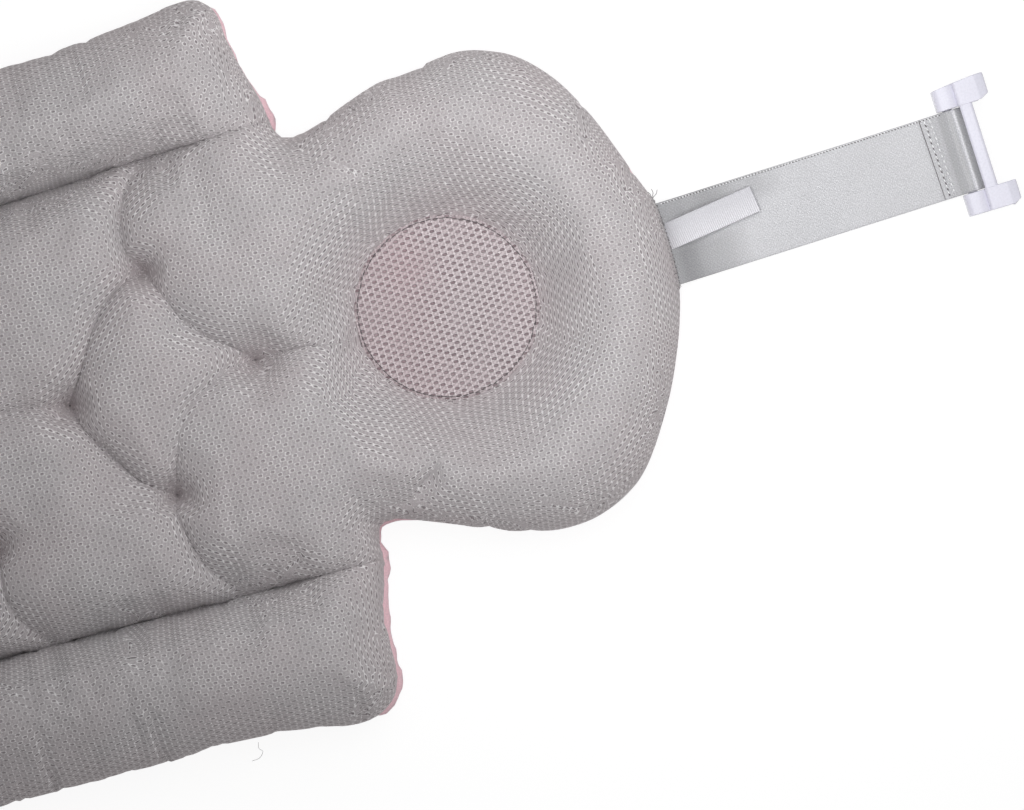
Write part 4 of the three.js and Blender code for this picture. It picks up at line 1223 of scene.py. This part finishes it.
def turn_about(points, origin, yaw):
    """Points of a local frame, rotated about +Z and moved to their place."""
    made = np.array(points, float)
    x, y = made[:, 0].copy(), made[:, 1].copy()
    made[:, 0] = origin[0] + x * cos(yaw) - y * sin(yaw)
    made[:, 1] = origin[1] + x * sin(yaw) + y * cos(yaw)
    return made


def on_strap(points):
    return turn_about(points, (0, HEAD_END), STRAP_YAW)


def strap_thread(name, parts, material, node=None):
    points, faces = merge(parts)
    thread_piece(name, [(on_strap(points), faces)], material, "webbing", node)


def band(line, width, thickness, shift=None, lift=None):
    """A band along a side view line of (along, height), its faces, and its cloth coordinates."""
    line = np.asarray(line, float)
    along = np.gradient(line, axis=0)
    along /= np.linalg.norm(along, axis=1)[:, None]
    x = np.linspace(-1, 1, BAND_COLUMNS - 2) * width / 2
    x = np.sort(np.concatenate([x, [thickness * 0.5 - width / 2, width / 2 - thickness * 0.5]]))
    edge = np.clip((width / 2 - abs(x)) / (thickness * 0.5), 0, 1)
    half = thickness / 2 * (0.55 + 0.45 * np.sqrt(1 - (1 - edge) ** 2))
    x, half = np.concatenate([x, x[::-1]]), np.concatenate([half, -half[::-1]])
    m, count = len(x), len(line)
    points, uv = [], []
    for place, direction, s in zip(line, along, run_along(line)):
        extra = np.zeros(m) if shift is None else shift(x, s)
        up = half + (0 if lift is None else lift(x, s))
        points.append(np.column_stack([x, place[0] - direction[1] * up + direction[0] * extra,
                                       place[1] + direction[0] * up + direction[1] * extra]))
        uv.append(np.column_stack([x + 200 * (half < 0), np.full(m, s) + extra]))
    faces = [(i * m + (k + 1) % m, i * m + k, (i + 1) * m + k, (i + 1) * m + (k + 1) % m)
             for i in range(count - 1) for k in range(m)]
    for base, flip in ((0, 1), ((count - 1) * m, -1)):
        for k in range(BAND_COLUMNS - 1):
            faces.append(tuple(base + q for q in (k, k + 1, m - 2 - k, m - 1 - k)[::flip]))
    return np.vstack(points), faces, np.vstack(uv)


# %% Strap
STRAP_WIDTH, STRAP_THICKNESS = 39.0, 1.2
ROOT_Z, FLAT_Z = 7.4, 1.0
STRAP_DROP = 16.0
BAR_AT, BAR_Z, BAR_RADIUS = 142.3, 9.0, 2.5
LOOP_RADIUS = BAR_RADIUS + 0.3 + STRAP_THICKNESS / 2
LOOP_BULGE, LEAVE = 2.3, radians(112)
RISE_AT, TAIL_AT = BAR_AT - 26.0, BAR_AT - 13.2
TAIL_TILT, TAIL_RIB = 0.9, 1.0

drop = [(s, ROOT_Z + (FLAT_Z - ROOT_Z) * ease(s / STRAP_DROP)) for s in np.linspace(-1.5, STRAP_DROP, 14)]
flat = [(s, FLAT_Z + 0.5 * sin(pi * (s - STRAP_DROP) / (RISE_AT - STRAP_DROP)) ** 2)
        for s in np.linspace(STRAP_DROP + 3, RISE_AT, 30)]
rise = [(RISE_AT + (BAR_AT - RISE_AT) * t, FLAT_Z + (BAR_Z - LOOP_RADIUS - FLAT_Z) * (0.35 * t + 0.65 * t * t))
        for t in np.linspace(0, 1, 12)[1:-1]]
turn = [(BAR_AT + (LOOP_RADIUS + LOOP_BULGE * max(0.0, cos(a))) * cos(a), BAR_Z + LOOP_RADIUS * sin(a))
        for a in np.linspace(-pi / 2, LEAVE, 34)]
under_tail = np.interp(TAIL_AT, *np.array(rise).T)
leave_at = np.array(turn[-1])
bend = np.array([BAR_AT - 9.0, under_tail + 2 * STRAP_THICKNESS + 1.2])
tail_end = np.array([TAIL_AT, under_tail + STRAP_THICKNESS + 0.35])
tail = [tuple((1 - t) ** 2 * leave_at + 2 * t * (1 - t) * bend + t * t * tail_end)
        for t in np.linspace(0, 1, 70)[1:]]
strap_line = np.array(drop + flat + rise + turn + tail)
strap_run = run_along(strap_line)
ridge_at = strap_run[len(drop + flat + rise) + 25]


def slant_tail(x, s):
    """The cut end isn't square: one side of the fold is longer."""
    return -TAIL_TILT * (x / STRAP_WIDTH + 0.5) * ease((s - strap_run[-1] + 17) / 12)


def strap_wave(x, s):
    """Slow waves of webbing that has been folded, the tail's ribs and the ridge behind the bar."""
    waves = ease((s - 8) / 20) * ease((RISE_AT - s) / 20) * (
        0.55 * np.sin(s / 17 + x / 30) + 0.25 * np.sin(x / 9 - s / 31) + 0.35)
    from_end = strap_run[-1] - s
    ribs = 0.26 * cos(TURN * from_end / TAIL_RIB) * ease((from_end - 2.4) / 0.6) * ease((6.6 - from_end) / 0.8)
    return waves + ribs + 0.5 * exp(-((s - ridge_at) / 0.6) ** 2)


def painted_satin_light(x, s):
    """Painted shade on the satin, set by place: dark bands by the label, on the fold's tail and in the
    groove behind the ridge, where the front bar's shadow falls, and a painted highlight along the ridge."""
    right = np.interp(s, (0, 4, 8, 14, 22, 30, 36, 42), (0.05, 0.25, 0.44, 0.43, 0.31, 0.27, 0.14, 0))
    left = np.interp(s, (0, 4, 14, 22, 30, 38, 44, 50, 58, 66),
                     (0.1, 0.25, 0.3, 0.37, 0.43, 0.3, 0.16, 0.22, 0.1, 0))
    tail = np.interp(s - ridge_at, (-8, -5, -3, -1.0, -0.5, 0.5, 1.0, 1.8, 7.5, 8.5, 12, 16),
                     (0.1, 0.25, 0.32, 0.32, -0.22, -0.22, 0.12, 0.24, 0.28, 0.14, 0.10, 0.06))
    return right * ease((x + 1) / 6) + left * ease((-5 - x) / 6) + tail * (s > ridge_at - 8)


points, faces, uv = band(strap_line, STRAP_WIDTH, STRAP_THICKNESS, slant_tail, strap_wave)
strap = new_piece("strap_webbing", on_strap(points), faces, WEBBING, "webbing", uv)
# The strap's painted shade and painted highlight, kept on its points
point_attribute(strap, SATIN_PAINTED_LIGHT, painted_satin_light(points[:, 0], uv[:, 1]))
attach(strap, "webbing")
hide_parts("strap")


def strap_top(s, on_tail=False):
    """Height of the strap's face at a distance from the head end."""
    line = np.array(tail[::-1] if on_tail else drop + flat + rise)
    return float(np.interp(s, *line.T)) + STRAP_THICKNESS / 2


# %% Strap stitches
EDGE_PITCH, EDGE_X = 1.5, -STRAP_WIDTH / 2 + 0.85
CROSS_PITCH = 2.8
CROSS_STITCH, MARK_STITCH = (1.7, 0.36, 0.4), (1.4, 0.27, 0.3)
# The dark tubes set between the silver edge stitches are painted shade, for the shaded gaps between them.
for name, material, shift, size in (
        ("strap_edge_stitches", SILVER_THREAD, 0.0, (0.85, 0.30, 0.3)),
        ("strap_edge_painted_shade", SEAM_THREAD, EDGE_PITCH / 2, (0.85, 0.20, 0.3))):
    parts = []
    for s in np.arange(4.0, BAR_AT - 3.5, EDGE_PITCH) + shift:
        on_tail = s > TAIL_AT
        z = strap_top(s, on_tail) + 0.05 + (0.0 if on_tail else float(strap_wave(EDGE_X, s + 1.5)))
        parts.append(stitch((EDGE_X, s, z), (0.5, 1, 0), *size))
    strap_thread(name, parts, material)


def tail_edge(x):
    """Where the fold's cut end lies at a place across the strap."""
    return TAIL_AT + TAIL_TILT * (x / STRAP_WIDTH + 0.5)


marks = []  # needle holes, each with the dark thread of the lower side
for name, from_end in (("loop_stitches_outer", 1.9), ("loop_stitches_inner", 4.4)):
    parts = []
    for x in np.arange(-17.8, 18.0, CROSS_PITCH):
        s = tail_edge(x) + from_end
        z = strap_top(s, True) + 0.15
        parts.append(stitch((x + 0.5, s + draw.normal(0, 0.08), z), (1, 0.25, 0), *CROSS_STITCH))
        between = (x + 0.5 + CROSS_PITCH / 2, s + draw.normal(0, 0.08), z - 0.05)
        if name == "loop_stitches_outer":
            marks.append(stitch(between, (1, 0.35, 0), *MARK_STITCH))
    strap_thread(name + "_thread", parts, SILVER_THREAD, name)
# A dark tube along the fold's cut end is painted shadow, where the raised end casts shade on the strap.
cut = [(x, tail_edge(x) - 0.2, strap_top(TAIL_AT) + 1.0) for x in np.linspace(-19.2, 19.2, 20)]
strap_thread("loop_needle_marks", marks, SEAM_THREAD)
strap_thread("strap_tail_painted_shadow", [tube(cut, 0.38)], SEAM_THREAD)
print(f"strap line of {strap_run[-1]:.0f} mm, {len(strap_line)} sections")

# %% [markdown]
# ## The label
# A plain white grosgrain ribbon is folded in half and sewn in over the strap's root. Its two leaves lie
# on each other, and the folded tip stands a little off the strap. It is one more band, along a line that
# goes out and comes back. Its sewn end stays on the strap.

# %% Label
LABEL_WIDTH, LABEL_REACH, LABEL_THICKNESS = 12.5, 44.0, 0.4
LABEL_AT, LABEL_YAW = (-3.5, 5.0), radians(6.2)
LEAF_PITCH = 0.75
root_z, tip_z = strap_top(LABEL_AT[1]) + 0.6, strap_top(LABEL_REACH) + 2.0
leaf_run = LABEL_REACH - LABEL_AT[1] - LEAF_PITCH / 2
lower_leaf = [((leaf_run + 8.5) * t - 6.5, root_z + (tip_z - root_z) * ease(t * 1.1) - 0.8 * sin(pi * t))
              for t in np.linspace(0, 1, 18)]
upper_leaf = [(s, z + LEAF_PITCH * (1 + 0.9 * sin(pi * k / 17))) for k, (s, z) in enumerate(lower_leaf)]
tip = lower_leaf[-1]
fold = [(tip[0] + LEAF_PITCH / 2 * cos(a) * 1.3, tip[1] + LEAF_PITCH / 2 * (1 + sin(a)))
        for a in np.linspace(-pi / 2, pi / 2, 8)[1:-1]]
points, faces, uv = band([*lower_leaf, *fold, *upper_leaf[::-1]], LABEL_WIDTH, LABEL_THICKNESS)
points = on_strap(turn_about(points, LABEL_AT, LABEL_YAW))
label = new_piece("label_ribbon", points, faces, RIBBON, "ribbon", uv)
along = np.array([-sin(STRAP_YAW + LABEL_YAW), cos(STRAP_YAW + LABEL_YAW), 0.0])
root_at = on_strap([(*LABEL_AT, ROOT_Z)])[0]
tuple((root_at - along) * MM)
tuple((root_at + 5 * along) * MM)
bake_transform(label)
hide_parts("label_tab")
print(f"label of {len(faces)} faces")

# %% [markdown]
# ## The hook buckle
# Two moulded hooks stand side by side. Each has a rounded boss at the strap's bar, then a shallow valley,
# and a flat block that ends in a bevelled nose and a leg that goes down behind the rim of a tub. A second
# bar joins them in front. Boxes could be cut and joined by hand, but each hook is the same side view all
# through, so side views are drawn as polygons and given width. A Bevel modifier rounds their edges as a
# mould does.

# %% Buckle
LUG_X, LUG_WIDTH = 25.5, 11.2
MOULD_ROUND, ROUND_FROM, ROUND_STEPS = 0.8, radians(40), 3
BAR_SLACK = 0.25  # thinner than the strap's turn leaves room for, so the buckle swings clear of it


def arc(centre, radius, start, end, count=6):
    return [(centre[0] + radius * cos(a), centre[1] + radius * sin(a))
            for a in np.radians(np.linspace(start, end, count))]


REAR_BLOCK = [(-4.6, 0), (5.6, 0), (5.6, 13.1), (5.2, 13.5), *arc((1.2, 7.3), 7.4, 60, 100),
              *arc((-1.2, 10.9), 3.4, 104, 180)]
FRONT_BLOCK = [(5.0, 11.0), (14.2, 11.0), (14.2, 0), (20.4, 0), (20.4, 13.0),
               *arc((18.8, 13.6), 1.6, 10, 60, 4), (16.5, 15.75), (15.7, 16.0), (7.4, 16.0),
               *arc((7.2, 14.2), 1.8, 98, 160, 5), (5.0, 13.4)]
REAR_BAR = [(y, z + BAR_Z) for y, z in arc((0, 0), BAR_RADIUS - BAR_SLACK, 0, 360, 29)[:-1]]
FRONT_BAR = [*arc((10.4, 14.4), 1.4, 0, 90), *arc((7.3, 14.2), 1.6, 90, 180),
             *arc((7.8, 12.9), 1.2, 190, 270, 4), *arc((10.8, 12.7), 1.0, 270, 360, 4)]
# The lugs aren't quite square: each side's outer edge, and the nose's corner cut on the +X side
OUTER_EDGE = {-1: ((-4.6, 5.0, 16.0), (29.9, 31.0, 31.8)), 1: ((-4.6, 5.0, 16.0), (30.1, 30.3, 30.5))}
NOSE_CUT = {-1: (15.8, 20.6, 2.3), 1: (17.6, 20.6, 1.9)}


def lug_plan(points, side, inner, outer):
    """Moves a lug's sides in plan to the measured edges."""
    y = points[:, 1]
    on_outer = abs(points[:, 0] - outer) < abs(points[:, 0] - inner)
    points[on_outer, 0] = side * np.interp(y[on_outer], *OUTER_EDGE[side])
    start, end, cut = NOSE_CUT[side]
    plus_side = on_outer if side == 1 else ~on_outer
    points[:, 0] -= np.where(plus_side, np.interp(y, (start, end), (0, cut)), 0)
    return points


def block(side_view, x_from, x_to):
    """A side view polygon with width, as points and faces."""
    count = len(side_view)
    points = np.array([(x, y, z) for x in (x_from, x_to) for y, z in side_view])
    faces = [(k, (k + 1) % count, (k + 1) % count + count, k + count) for k in range(count)]
    return points, [tuple(range(count))[::-1], tuple(range(count, 2 * count)), *faces]


parts = []
for side in (-1, 1):
    inner, outer = side * (LUG_X - LUG_WIDTH / 2), side * (LUG_X + LUG_WIDTH / 2)
    for shape, narrower in ((REAR_BLOCK, 0.0), (FRONT_BLOCK, 0.15)):
        points, faces = block(shape, *sorted((inner - side * narrower, outer)))
        parts.append((lug_plan(points, side, inner, outer), faces))
parts += [block(bar, -LUG_X, LUG_X) for bar in (REAR_BAR, FRONT_BAR)]
points, faces = merge(parts)
points[:, 1] += BAR_AT
buckle = new_piece("hook_buckle_moulded", on_strap(points), faces, PLASTIC, "buckle_plastic")
rounding = buckle.modifiers.new("mould_rounding", "BEVEL")
rounding.width, rounding.segments = MOULD_ROUND * MM, ROUND_STEPS
rounding.limit_method, rounding.angle_limit = "ANGLE", ROUND_FROM
buckle.modifiers.new("even_shading", "WEIGHTED_NORMAL")
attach(buckle, "buckle")
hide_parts("hook_buckle")
print(f"buckle of {len(faces)} faces before rounding")
